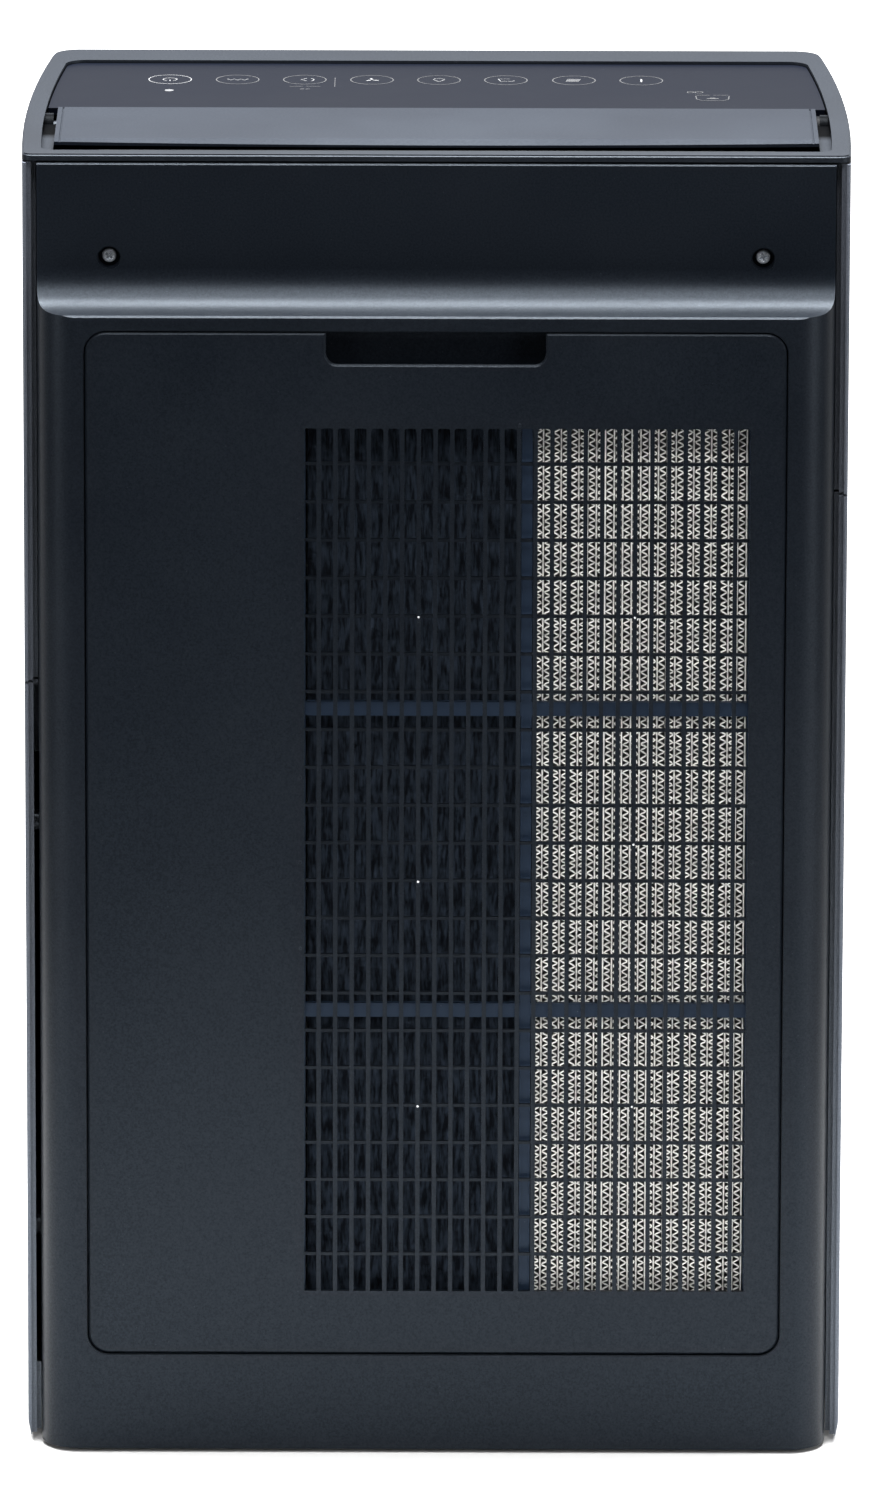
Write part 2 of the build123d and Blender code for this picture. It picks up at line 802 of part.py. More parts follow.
def control_board():
    """Circuit board under the touch keys, with one round electrode pad per key."""
    y = key_spots()[0][1]
    high = control_bottom - 8
    half = opening_half - 32
    board = block(-half, half, y - 30, y + 30, high - board_thickness, high)
    for x, key_y in key_spots():
        board += Pos(x, key_y, high + 3.5) * Cylinder(key_radius - 2, 7.0)
    return board


def flap_section():
    """Section of the louver flap: a tapering plate that runs into a round nose at the hinge."""
    under = body_height - flap_thickness
    tip = body_height - flap_tail_drop
    front = (flap_front, flap_front + flap_edge)
    top = ((front[0], body_height - flap_edge), (front[1], body_height), (flap_back - flap_tail, body_height))
    rear = ((flap_back, tip), (flap_back, tip - flap_tip), (hinge_y, under), (front[0], under))
    return make_face(Polyline(*top, *rear, close=True)) + Pos(hinge_y, hinge_z) * Circle(flap_nose)


def louver_flap():
    """Louver flap with a grooved top at each end, end cheeks, a hinge pin and a hollow nose for its motor."""
    flap = along(flap_section(), -flap_half, flap_half)
    high = body_height - flap_thickness
    low = body_height - flap_thickness - flap_cheek
    cheek = make_face(Polyline((hinge_y, high), (flap_back - 2 * flap_tail, high + 0.5), (hinge_y, low), close=True))
    for x in (-flap_half, flap_half - cheek_wall):
        flap += along(cheek, x, x + cheek_wall)
    for x in mirror_x(flap_half - groove_inset):
        flap -= block(x - groove / 2, x + groove / 2, 0, rear_y, body_height - groove, body_height + 1)
    flap &= prism(Pos(0, flap_back - flap_sweep) * Circle(flap_sweep), 0, body_height + 1)
    axis = Pos(hinge_y, hinge_z)
    flap += along(axis * Circle(louver_pin), flap_half - 1, half_width - 8)
    inner = -flap_half + louver_motor_length - 2
    flap -= along(axis * Circle(louver_motor_radius + motor_room), -flap_half - 1, inner)
    flap -= along(axis * Circle(louver_shaft + run_fit), inner - 1, inner + louver_shaft_length + 1)
    return flap


def louver_motor():
    """Tubular motor inside the flap's nose, held by the cap's seat."""
    axis = Pos(hinge_y, hinge_z)
    start = -flap_half - 2
    end = start + louver_motor_length - motor_room
    body = along(axis * Circle(louver_motor_radius), start, end)
    return body - along(axis * Circle(louver_shaft + run_fit), end - louver_shaft_length, end + 1)


def louver_shaft_pin():
    """Shaft from the motor into the end of the flap's bore."""
    end = -flap_half - 2 + louver_motor_length
    return along(Pos(hinge_y, hinge_z) * Circle(louver_shaft), end - louver_shaft_length, end + louver_shaft_length)


# Air path


def outlet_duct():
    """Duct that carries the air from the scroll up and back to the louver."""
    low_x = ((scroll_left + fan_x) / 2, fan_x - scroll_left)
    low_y = ((scroll_front + partition_y) / 2, scroll_depth)
    high_y = ((throat_front + throat_back) / 2, throat_back - throat_front)

    def passage(grow):
        bottom = Pos(low_x[0], low_y[0], scroll_top) * Rectangle(low_x[1] + 2 * grow, low_y[1] + 2 * grow)
        top = Pos(0, high_y[0], duct_top) * Rectangle(2 * throat_half_width + 2 * grow, high_y[1] + 2 * grow)
        return loft([bottom, top], ruled=True)

    seat = top_opening(-play) & (Pos(0, body_depth + throat_front - 4) * Rectangle(body_width, 2 * body_depth))
    throat = Pos(0, high_y[0]) * Rectangle(2 * throat_half_width, high_y[1])
    flange = prism(seat, duct_top, duct_top + thin_wall) - prism(throat, 0, body_height)
    for x in mirror_x(rear_screw_x):
        flange -= block(x - 9, x + 9, lug_front - 0.5, rear_y, 0, body_height)
    return passage(thin_wall) - passage(0) + flange


def outlet_guard():
    """Bars over the throat, standing on the duct's flange."""
    low = duct_top + thin_wall
    reach = throat_half_width + 3
    sides = (throat_front - 2.5, throat_back + 2.5)
    pitch = 2 * throat_half_width / guard_bars
    bars = []
    for bar in range(guard_bars - 1):
        x = -throat_half_width + (bar + 1) * pitch
        bars.append(block(x - guard_bar / 2, x + guard_bar / 2, *sides, low, low + guard_height))
    frame = block(-reach, reach, *sides, low, low + guard_height)
    frame -= block(-throat_half_width, throat_half_width, throat_front, throat_back, 0, body_height)
    return frame + bars


def scroll_profile():
    """Inner outline of the fan scroll: three quarter arcs of growing radius and an upward outlet."""
    steps = (scroll_radius, scroll_radius + scroll_step, scroll_radius + 2 * scroll_step)
    top = scroll_top + 3 * thin_wall
    start = (fan_x, fan_z + steps[0])
    right = (fan_x + steps[0], fan_z)
    bottom = (fan_x - scroll_step, fan_z - steps[1])
    left = (fan_x - scroll_step - steps[2], fan_z + scroll_step)

    def quarter(centre, radius, first, second):
        middle = (first + second) / 2
        point = [(centre[0] + radius * cos(radians(a)), centre[1] + radius * sin(radians(a))) for a in (first, middle, second)]
        return ThreePointArc(*point)

    arcs = quarter((fan_x, fan_z), steps[0], 90, 0)
    arcs += quarter((fan_x - scroll_step, fan_z), steps[1], 0, -90)
    arcs += quarter((fan_x - scroll_step, fan_z + scroll_step), steps[2], -90, -180)
    return make_face(arcs + Polyline(left, (left[0], top), (fan_x, top), start))


def fan_scroll():
    """Scroll wall and its front plate, open towards the partition and at the top."""
    inner = scroll_profile()
    outer = offset(inner, thin_wall)
    wall = across(outer - inner, scroll_front, partition_y)
    plate = across(outer, scroll_front - thin_wall, scroll_front)
    plate -= across(Pos(fan_x, fan_z) * Circle(hub_radius), scroll_front - 10, scroll_front + 1)
    above = block(-body_width, body_width, front_y, rear_y, scroll_top, body_height)
    return wall + plate - above


def partition():
    """Upright wall between the filter side and the fan side, with the inlet bell."""
    right = tank_left - scroll_side_gap
    sheet = block(-inner_half + flank_dip(partition_y) + play, right, partition_y, partition_y + thin_wall, floor_z, scroll_top)
    sheet -= across(Pos(fan_x, fan_z) * Circle(bell_radius), 0, rear_y)
    lip = Circle(bell_radius + bell_lip) - Circle(bell_radius)
    return sheet + across(Pos(fan_x, fan_z) * lip, partition_y - bell_reach, partition_y + thin_wall)


def inlet_guard():
    """Guard of rings and spokes over the inlet bell."""
    guard = Sketch()
    for ring in range(1, guard_rings + 1):
        radius = bell_radius * ring / guard_rings
        guard += Circle(radius + guard_bar / 2) - Circle(radius - guard_bar / 2)
    for spoke in range(guard_spokes):
        guard += Rot(0, 0, spoke * 180 / guard_spokes) * Rectangle(2 * bell_radius + 8, guard_bar)
    return across(Pos(fan_x, fan_z) * guard, partition_y + thin_wall, partition_y + thin_wall + guard_bar)


def fan_impeller():
    """Centrifugal impeller: hub plate, curved blades and a shroud ring at the inlet."""
    front = scroll_front + impeller_end_gap
    back = partition_y - bell_reach - impeller_end_gap
    inner = fan_radius - blade_length
    sweep = radians(12)
    middle = (inner + fan_radius) / 2
    curve = ThreePointArc(
        (inner, 0), (middle * cos(sweep * 0.75), middle * sin(sweep * 0.75)), (fan_radius * cos(sweep), fan_radius * sin(sweep))
    )
    blade = trace(curve, blade_sheet)
    blades = PolarLocations(0, blade_count) * blade
    ring = Circle(fan_radius + 2) - Circle(fan_radius - 9)
    spot = Pos(fan_x, fan_z)
    wheel = across(spot * Circle(fan_radius + 2), front, front + thin_wall)
    wheel += across(spot * (Sketch() + blades), front + thin_wall, back - thin_wall)
    wheel += across(spot * ring, back - thin_wall, back)
    wheel += across(spot * Circle(hub_radius), front, front + hub_length)
    return wheel - across(spot * Circle(shaft_radius + run_fit), front - 1, front + hub_length + 1)


def motor_shaft():
    """Shaft from the motor through the hub."""
    back = scroll_front + impeller_end_gap + hub_length + nut_length + 2
    return across(Pos(fan_x, fan_z) * Circle(shaft_radius), motor_front() + 3, back)


def hub_nut():
    """Nut that clamps the impeller on its shaft."""
    seat = scroll_front + impeller_end_gap + hub_length
    nut = RegularPolygon(nut_flats / 2, 6, major_radius=False) - Circle(shaft_radius + run_fit)
    return across(Pos(fan_x, fan_z) * nut, seat, seat + nut_length)


def motor_front():
    """Front end of the fan motor."""
    return scroll_front - thin_wall - motor_plate - motor_length


def fan_motor():
    """Round motor, with end bosses round its shaft."""
    spot = Pos(fan_x, fan_z)
    back = motor_front() + motor_length
    body = across(spot * Circle(motor_radius), motor_front(), back)
    body = chamfer(body.faces().sort_by(Axis.Y)[0].edges(), 4.0)
    return body - across(spot * Circle(shaft_radius + run_fit), motor_front() + 2, back + 1)


def screw_circle():
    """Places of the motor's screws round the shaft."""
    return [Rot(0, 0, angle) * Pos(motor_radius + 12, 0) for angle in (90, 210, 330)]


def motor_bracket():
    """Plate with three ears that holds the motor on the scroll."""
    shape = Circle(motor_radius + 7)
    for place in screw_circle():
        shape += place * Circle(8)
    shape -= Circle(hub_radius)
    for place in screw_circle():
        shape -= place * Circle(screw_shank + play)
    back = scroll_front - thin_wall
    return across(Pos(fan_x, fan_z) * shape, back - motor_plate, back)


def motor_screws():
    """Screws through the bracket's ears, up to the scroll's plate."""
    seat = scroll_front - thin_wall - motor_plate
    screws = []
    for place in screw_circle():
        spot = Pos(fan_x, fan_z) * place
        head = across(spot * Circle(screw_head_radius), seat - screw_head_height, seat)
        screws.append(head + across(spot * Circle(screw_shank), seat, seat + motor_plate))
    return screws


# Humidifier


def humidifier_tray():
    """Water tray with a low end under the tank and two posts for the wheel's axle."""
    top = floor_z + tray_height
    tray = block(tray_left, tray_right, tray_front_y, tray_back_y, floor_z, top)
    tray -= block(
        tray_left + tray_wall,
        tray_right - tray_wall,
        tray_front_y + tray_wall,
        tray_back_y - tray_wall,
        floor_z + tray_wall,
        top + 1,
    )
    tray -= block(tank_left - 6, tray_right + 1, 0, rear_y, floor_z + tray_low_end, top + 1)
    for y in (wheel_front_y - 6, wheel_back_y + 2):
        tray += block(wheel_x - 10, wheel_x + 10, y, y + 4, floor_z + 1, wheel_z + 11)
    return tray - across(Pos(wheel_x, wheel_z) * Circle(axle_radius + run_fit), 0, rear_y)


def wheel_axle():
    """Axle in the tray's posts."""
    return across(Pos(wheel_x, wheel_z) * Circle(axle_radius), wheel_front_y - 7, wheel_back_y + 7)


def humidifier_wheel():
    """Wheel that lifts the media through the water: ring gear, rim, spokes and hub."""
    gear = gear_outline(wheel_teeth, pinion_angle, 0.235)
    rim = Circle(wheel_root_radius + 0.5) - Circle(wheel_rim_radius)
    spokes = Circle(axle_hub)
    for spoke in range(wheel_spokes // 2):
        spokes += Rot(0, 0, spoke * 360 / wheel_spokes) * Rectangle(2 * wheel_rim_radius + 2, 5)
    spot = Pos(wheel_x, wheel_z)
    wheel = across(spot * (gear - Circle(wheel_rim_radius)), gear_front_y, gear_front_y + gear_face_width)
    wheel += across(spot * rim, wheel_front_y, wheel_back_y)
    wheel += across(spot * spokes, wheel_front_y, wheel_front_y + 3)
    wheel += across(spot * Circle(axle_hub), wheel_front_y, wheel_back_y)
    return wheel - across(spot * Circle(axle_radius + run_fit), 0, rear_y)


def wheel_media():
    """Round wick held against the spokes."""
    ring = Circle(wheel_rim_radius - play) - Circle(axle_hub + play)
    return across(Pos(wheel_x, wheel_z) * ring, wheel_front_y + 3, wheel_back_y - 1)


def drive_pinion():
    """Pinion in mesh with the wheel's ring gear, with its shaft."""
    gap_angle = pinion_angle + 180 + 180 / pinion_teeth
    gear = gear_outline(pinion_teeth, gap_angle, 0.2)
    spot = Pos(pinion_x, pinion_z)
    body = across(spot * gear, gear_front_y, gear_front_y + gear_face_width)
    start = partition_y + thin_wall + 3
    return body + across(spot * Circle(pinion_shaft), start, gear_front_y)


def gear_motor():
    """Flat geared motor on the partition."""
    spot = Pos(pinion_x, pinion_z)
    front = partition_y + thin_wall
    back = front + gear_motor_length
    body = across(spot * Circle(gear_motor_radius), front, back)
    ears = Pos(pinion_x, pinion_z) * Rectangle(2 * gear_motor_radius + 16, 10)
    body += across(ears, front, front + 2)
    return body - across(spot * Circle(pinion_shaft + run_fit), front + 2, back + 1)


# Water tank


def pull_pocket(grow):
    """Finger pocket in the tank's outer face, grown into its wall."""
    return block(
        tank_right - pull_depth - grow,
        body_width,
        pull_mid_y - pull_width / 2 - grow,
        pull_mid_y + pull_width / 2 + grow,
        pull_mid_z - pull_height / 2 - grow,
        pull_mid_z + pull_height / 2 + grow,
    )


def tank_plan(inset):
    """Plan outline of the tank, drawn in by inset."""
    size = (tank_right - tank_left - 2 * inset, tank_back_y - tank_front_y - 2 * inset)
    return Pos(tank_mid_x, pull_mid_y) * RectangleRounded(*size, tank_corner - inset)


def water_tank():
    """Tank walls and floor, with a neck underneath for the cap and a hole for the finger pocket."""
    walls = prism(tank_plan(0), tank_floor, tank_top_z - tank_lid_thickness)
    walls -= prism(tank_plan(tank_wall), tank_floor + tank_wall, tank_top_z)
    walls -= pull_pocket(tank_wall)
    neck = Circle(tank_neck_radius) - Circle(tank_neck_radius - tank_wall)
    spot = Pos(tank_mid_x, tank_cap_y)
    walls -= prism(spot * Circle(tank_neck_radius - tank_wall), 0, tank_floor + tank_wall + 1)
    return walls + prism(spot * neck, tank_neck_end, tank_floor)


def tank_lid():
    """Top of the tank, with a rib that locates it inside the walls."""
    lid = prism(tank_plan(0), tank_top_z - tank_lid_thickness, tank_top_z)
    rib = tank_plan(tank_wall + play) - tank_plan(2 * tank_wall)
    low = tank_top_z - tank_lid_thickness - tank_lid_rib
    return lid + prism(rib, low, tank_top_z - tank_lid_thickness)


def tank_handle():
    """Finger pocket set into the tank's outer wall."""
    tub = pull_pocket(tank_wall) & block(tank_left, tank_right, tank_front_y, tank_back_y, 0, body_height)
    return tub - pull_pocket(0)


def tank_cap():
    """Screw cap over the tank's neck, with a grip rim."""
    low = tank_cap_bottom
    cup = Pos(tank_mid_x, tank_cap_y, low + 5) * Cylinder(tank_cap_radius, 10)
    bore = Pos(tank_mid_x, tank_cap_y, low + 7.5) * Cylinder(tank_neck_radius + play, 11)
    valve = Pos(tank_mid_x, tank_cap_y, low - 0.5) * Cylinder(6, 3)
    return cup - bore + (valve & block(tank_left, tank_right, tank_front_y, tank_back_y, low - 1, tank_floor))


def tank_seal_ring():
    """Rubber ring between the neck and the cap."""
    low = tank_neck_end
    ring = Circle(tank_neck_radius) - Circle(tank_neck_radius - tank_wall)
    return prism(Pos(tank_mid_x, tank_cap_y) * ring, low - tank_seal, low)


def tank_cover():
    """Side panel carried by the tank, with the finger opening and its bosses."""
    panel = side_skin(foot_height + side_floor_gap, side_seam_right - seam, 1) - lower_bevel(1)
    ribs = block(inner_half - 4, body_width, tank_front_y - 4, tank_back_y + 4, tank_cap_bottom - 6, tank_top_z + 5)
    panel -= ribs - prism(plan(-1, front_y, rear_y) - plan(skin, front_y, rear_y), 0, body_height)
    limit = prism(plan(1, front_y, rear_y), 0, body_height)
    for y in (tank_front_y + 25, tank_back_y - 25):
        for z in (tank_floor + 40, tank_top_z - 70):
            panel += along(Pos(y, z) * Circle(5), tank_right, half_width) & limit
    panel += pull_pocket(thin_wall) & limit & block(tank_right, half_width, front_y, rear_y, 0, body_height)
    return panel - pull_pocket(0)


# Electronics


def power_board():
    """Upright power board on the base plate, with its larger components."""
    left = -inner_half + 18
    y = casing_front + 6
    board = block(left, left + 120, y, y + board_thickness, floor_z, floor_z + 100)
    back = y + board_thickness
    board += block(left + 10, left + 45, back, back + 18, floor_z + 15, floor_z + 45)
    board += block(left + 60, left + 100, back, back + 14, floor_z + 60, floor_z + 85)
    for step in range(3):
        board += across(Pos(left + 62 + step * 16, floor_z + 30) * Circle(6), back, back + 20)
    return board


def ion_unit():
    """Ion unit on the duct's flange, beside the throat."""
    left = throat_half_width + 5
    y = throat_back - 30
    low = duct_top + thin_wall
    unit = block(left, left + 14, y - 18, y + 18, low, low + 8)
    for x in (left + 4, left + 10):
        unit += Pos(x, y, low + 9) * Cylinder(0.8, 4)
    return unit


def dust_sensor():
    """Dust sensor between the flank and the filter bay."""
    low, high = sensor_limits()
    right = grille_x - bay_width / 2 - thin_wall
    body = block(-inner_half + 2, right, low, high, side_seam_left + 18, side_seam_left + 58)
    return body - block(-body_width, -inner_half + 10, low + 8, high - 8, side_seam_left + 25, side_seam_left + 50)


nodes = {
    "rear_casing": rear_casing,
    "base_plate": base_plate,
    "rubber_feet": rubber_feet,
    "base_screws": base_screws,
    "cord_gland": cord_gland,
    "front_panel": front_panel,
    "side_panel_right": side_panel_right,
    "side_panel_left": side_panel_left,
    "sensor_cover": sensor_cover,
    "back_panel": back_panel,
    "deodoriser_frame": deodoriser_frame,
    "carbon_pack": carbon_pack,
    "honeycomb_block": honeycomb_block,
    "hepa_frame": hepa_frame,
    "hepa_pleats": hepa_pleats,
    "top_cover": top_cover,
    "rear_screws": rear_screws,
    "control_panel": control_panel,
    "status_lens": status_lens,
    "control_board": control_board,
    "louver_flap": louver_flap,
    "louver_motor": louver_motor,
    "louver_shaft": louver_shaft_pin,
    "outlet_duct": outlet_duct,
    "outlet_guard": outlet_guard,
    "fan_scroll": fan_scroll,
    "partition": partition,
    "inlet_guard": inlet_guard,
    "fan_impeller": fan_impeller,
    "motor_shaft": motor_shaft,
    "hub_nut": hub_nut,
    "fan_motor": fan_motor,
    "motor_bracket": motor_bracket,
    "motor_screws": motor_screws,
    "humidifier_tray": humidifier_tray,
    "wheel_axle": wheel_axle,
    "humidifier_wheel": humidifier_wheel,
    "wheel_media": wheel_media,
    "drive_pinion": drive_pinion,
    "gear_motor": gear_motor,
    "water_tank": water_tank,
    "tank_lid": tank_lid,
    "tank_handle": tank_handle,
    "tank_cap": tank_cap,
    "tank_seal": tank_seal_ring,
    "tank_cover": tank_cover,
    "power_board": power_board,
    "ion_unit": ion_unit,
    "dust_sensor": dust_sensor,
}

os.makedirs("parts", exist_ok=True)
for name, make in nodes.items():
    shape = make()
    solids = shape if isinstance(shape, list) else shape.solids()
    solids = [solid for piece in solids for solid in piece.solids()]
    export_step(solids[0] if len(solids) == 1 else Compound(children=solids), f"parts/{name}.step")
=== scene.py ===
import math
import bpy
import numpy as np
from mathutils import Matrix, Vector


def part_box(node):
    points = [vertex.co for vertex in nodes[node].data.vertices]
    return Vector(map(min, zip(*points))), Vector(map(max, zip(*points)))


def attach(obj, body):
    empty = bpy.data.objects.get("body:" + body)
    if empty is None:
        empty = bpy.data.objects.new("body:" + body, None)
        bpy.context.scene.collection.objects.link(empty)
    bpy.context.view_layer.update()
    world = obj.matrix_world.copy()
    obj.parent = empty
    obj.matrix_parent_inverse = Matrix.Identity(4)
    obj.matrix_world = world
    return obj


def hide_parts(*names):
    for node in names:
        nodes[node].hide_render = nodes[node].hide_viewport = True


# Rear view of a floor-standing humidifying air purifier, in metres, rear towards +Y
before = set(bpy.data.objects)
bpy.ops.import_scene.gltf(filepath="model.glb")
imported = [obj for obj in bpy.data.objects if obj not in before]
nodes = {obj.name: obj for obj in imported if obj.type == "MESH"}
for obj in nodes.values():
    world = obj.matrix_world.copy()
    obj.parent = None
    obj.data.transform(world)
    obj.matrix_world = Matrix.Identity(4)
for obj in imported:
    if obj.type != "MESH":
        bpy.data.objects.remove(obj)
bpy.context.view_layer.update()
print("frame loaded:", len(nodes), "nodes")


# Mesh helpers

def gridQuads(rows, cols, wrapRows=False, wrapCols=False):
    # quads of a rows by cols grid of points, joined round where asked
    r = np.arange(rows if wrapRows else rows - 1)[:, None]
    c = np.arange(cols if wrapCols else cols - 1)[None, :]
    rn, cn = (r + 1) % rows, (c + 1) % cols
    quads = np.stack([r * cols + c, r * cols + cn, rn * cols + cn, rn * cols + c], -1)
    return quads.reshape(-1, 4)


def barQuads(samples):
    # quads of one closed bar: rings of four points along it, with both ends capped
    last = 4 * (samples - 1)
    caps = np.array([[3, 2, 1, 0], [last, last + 1, last + 2, last + 3]])
    return np.vstack([gridQuads(samples, 4, wrapCols=True), caps])


def repeatQuads(quads, copies, pointsEach):
    # the same quads for each of several equal runs of points
    shift = (np.arange(copies) * pointsEach)[:, None, None]
    return (quads[None] + shift).reshape(-1, 4)


def joinParts(parts):
    # points and quads of several parts as one, each part's quads counted on from the points before it
    points, quads, count = [], [], 0
    for partPoints, partQuads in parts:
        partPoints = partPoints.reshape(-1, 3)
        points.append(partPoints)
        quads.append(partQuads + count)
        count += len(partPoints)
    return np.vstack(points), np.vstack(quads)


def turned(x, z, r, a, y):
    # points at radius r and angle a round an axis along Y through x and z, at depth y
    across = x + r * np.cos(a)
    return np.stack([across, np.broadcast_to(y, across.shape), z + r * np.sin(a)], -1)


def addPiece(name, points, faces, body, finish, smooth=False, stands=()):
    mesh = bpy.data.meshes.new(name)
    corners = np.asarray(points, float).reshape(-1, 3)
    mesh.from_pydata(corners.tolist(), [], np.asarray(faces, int).tolist())
    mesh.polygons.foreach_set("use_smooth", np.full(len(mesh.polygons), smooth))
    mesh.materials.append(finish)
    mesh.update()
    piece = bpy.data.objects.new(name, mesh)
    bpy.context.scene.collection.objects.link(piece)
    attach(piece, body)
    if stands:
        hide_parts(*stands)


def cloudField(rows, cols, cells, seed):
    # smooth random heights: a coarse random grid, eased between its points along both ways
    rng = np.random.default_rng(seed)
    coarse = rng.random((cells[0] + 2, cells[1] + 2))

    def eased(n, count):
        t = np.linspace(0, count, n)
        i = np.minimum(t.astype(int), count - 1)
        f = t - i
        return i, f * f * (3 - 2 * f)

    ri, rf = eased(rows, cells[0])
    ci, cf = eased(cols, cells[1])
    low = coarse[ri][:, ci] * (1 - cf) + coarse[ri][:, ci + 1] * cf
    high = coarse[ri + 1][:, ci] * (1 - cf) + coarse[ri + 1][:, ci + 1] * cf
    return low * (1 - rf[:, None]) + high * rf[:, None]


# Shader helpers

def newGroup(name, inputs, outputs):
    group = bpy.data.node_groups.new(name, "ShaderNodeTree")
    for label, kind, value in inputs:
        socket = group.interface.new_socket(label, in_out="INPUT", socket_type=kind)
        if value is not None:
            socket.default_value = value
    for label in outputs:
        group.interface.new_socket(label, in_out="OUTPUT", socket_type="NodeSocketFloat")
    return group, group.nodes.new("NodeGroupInput"), group.nodes.new("NodeGroupOutput")


def addNode(tree, kind, **values):
    # keys that start with in_ fill the node's input sockets, and the others set its properties
    node = tree.nodes.new(kind)
    for key, value in values.items():
        if key.startswith("in_"):
            node.inputs[key[3:].replace("_", " ")].default_value = value
        else:
            setattr(node, key, value)
    return node


def feed(tree, socket, value):
    # fill a socket with another node's output, a colour or a number
    if isinstance(value, bpy.types.NodeSocket):
        tree.links.new(value, socket)
    elif isinstance(value, tuple):
        socket.default_value = (*value, 1)
    else:
        socket.default_value = value


def maths(tree, operation, *terms):
    node = addNode(tree, "ShaderNodeMath", operation=operation)
    for socket, term in zip(node.inputs, terms):
        feed(tree, socket, term)
    return node.outputs["Value"]


def mapRange(tree, value, low, high, toLow=0.0, toHigh=1.0, **values):
    node = addNode(tree, "ShaderNodeMapRange", **values, in_From_Min=low, in_From_Max=high,
                   in_To_Min=toLow, in_To_Max=toHigh)
    tree.links.new(value, node.inputs["Value"])
    return node.outputs["Result"]


def mixColour(tree, factor, first, second, blend="MIX"):
    node = addNode(tree, "ShaderNodeMix", data_type="RGBA", blend_type=blend)
    for label, value in (("Factor", factor), ("A", first), ("B", second)):
        feed(tree, node.inputs[label], value)
    return node.outputs["Result"]


def splitAxes(tree, vector):
    node = addNode(tree, "ShaderNodeSeparateXYZ")
    tree.links.new(vector, node.inputs["Vector"])
    return node.outputs


# Shader groups

grainSettings = {"smoothness": 0.6, "speckEdge": (0.05, 0.11), "speckRarity": 0.93, "mottleScale": 1000.0,
                 "mottleSpread": (0.3, 0.7), "cloudShare": 0.5, "roughSpread": (0.3, 0.7),
                 "sheenSpread": (0.25, 1.25), "sheenSwing": 0.22}


def makeMouldedGrain(s):
    # spark-eroded mould texture: fine pebble height, broad cloudy tone, sparse dust specks, and a mottle that
    # adds part of the cloud to fine noise
    group, gin, gout = newGroup(
        "mouldedGrain",
        [("Vector", "NodeSocketVector", None), ("Grain Scale", "NodeSocketFloat", 2200.0),
         ("Cloud Scale", "NodeSocketFloat", 9.0), ("Speck Scale", "NodeSocketFloat", 320.0)],
        ("Height", "Cloud", "Speck", "Mottle"))
    pebble = addNode(group, "ShaderNodeTexVoronoi", feature="SMOOTH_F1", in_Smoothness=s["smoothness"])
    fine = addNode(group, "ShaderNodeTexNoise", in_Detail=3.0, in_Roughness=0.6)
    cloud = addNode(group, "ShaderNodeTexNoise", in_Detail=4.0, in_Roughness=0.55)
    dots = addNode(group, "ShaderNodeTexVoronoi", feature="F1")
    mottle = addNode(group, "ShaderNodeTexNoise", in_Scale=s["mottleScale"], in_Detail=2.0, in_Roughness=0.7)
    split = addNode(group, "ShaderNodeSeparateColor")
    link = group.links.new
    scales = {"Grain Scale": (pebble, fine), "Cloud Scale": (cloud,), "Speck Scale": (dots,)}
    for scale, textures in scales.items():
        for texture in textures:
            link(gin.outputs["Vector"], texture.inputs["Vector"])
            link(gin.outputs[scale], texture.inputs["Scale"])
    link(gin.outputs["Vector"], mottle.inputs["Vector"])
    link(dots.outputs["Color"], split.inputs["Color"])
    dotShape = mapRange(group, dots.outputs["Distance"], *s["speckEdge"], 1.0, 0.0)
    picked = maths(group, "GREATER_THAN", split.outputs["Red"], s["speckRarity"])
    spread = mapRange(group, mottle.outputs["Fac"], *s["mottleSpread"])
    results = {"Height": maths(group, "ADD", pebble.outputs["Distance"], fine.outputs["Fac"]),
               "Cloud": cloud.outputs["Fac"],
               "Speck": maths(group, "MULTIPLY", dotShape, picked),
               "Mottle": maths(group, "MULTIPLY_ADD", cloud.outputs["Fac"], s["cloudShare"], spread)}
    for label, value in results.items():
        link(value, gout.inputs[label])
    return group


weaveSettings = {"distortion": 1.5, "fuzzShare": 0.8}


def makeFibreWeave(s):
    # crossed threads: the higher of two wave patterns at right angles, roughened by noise
    group, gin, gout = newGroup(
        "fibreWeave",
        [("Vector", "NodeSocketVector", None), ("Thread Scale", "NodeSocketFloat", 400.0),
         ("Fuzz Scale", "NodeSocketFloat", 900.0)],
        ("Height",))
    warp = addNode(group, "ShaderNodeTexWave", bands_direction="X", in_Distortion=s["distortion"])
    weft = addNode(group, "ShaderNodeTexWave", bands_direction="Z", in_Distortion=s["distortion"])
    fuzz = addNode(group, "ShaderNodeTexNoise", in_Detail=4.0, in_Roughness=0.7)
    link = group.links.new
    for texture, scale in ((warp, "Thread Scale"), (weft, "Thread Scale"), (fuzz, "Fuzz Scale")):
        link(gin.outputs["Vector"], texture.inputs["Vector"])
        link(gin.outputs[scale], texture.inputs["Scale"])
    crossed = maths(group, "MAXIMUM", warp.outputs["Fac"], weft.outputs["Fac"])
    link(maths(group, "MULTIPLY_ADD", fuzz.outputs["Fac"], s["fuzzShare"], crossed), gout.inputs["Height"])
    return group


mouldedGrain = makeMouldedGrain(grainSettings)
fibreWeave = makeFibreWeave(weaveSettings)
print("shader groups ready")


# Finishes

def startFinish(name, **sockets):
    finish = bpy.data.materials.new(name)
    finish.use_nodes = True
    tree = finish.node_tree
    shader = tree.nodes["Principled BSDF"]
    for label, value in sockets.items():
        shader.inputs[label.replace("_", " ")].default_value = value
    return finish, tree, shader, addNode(tree, "ShaderNodeTexCoord").outputs["Object"]


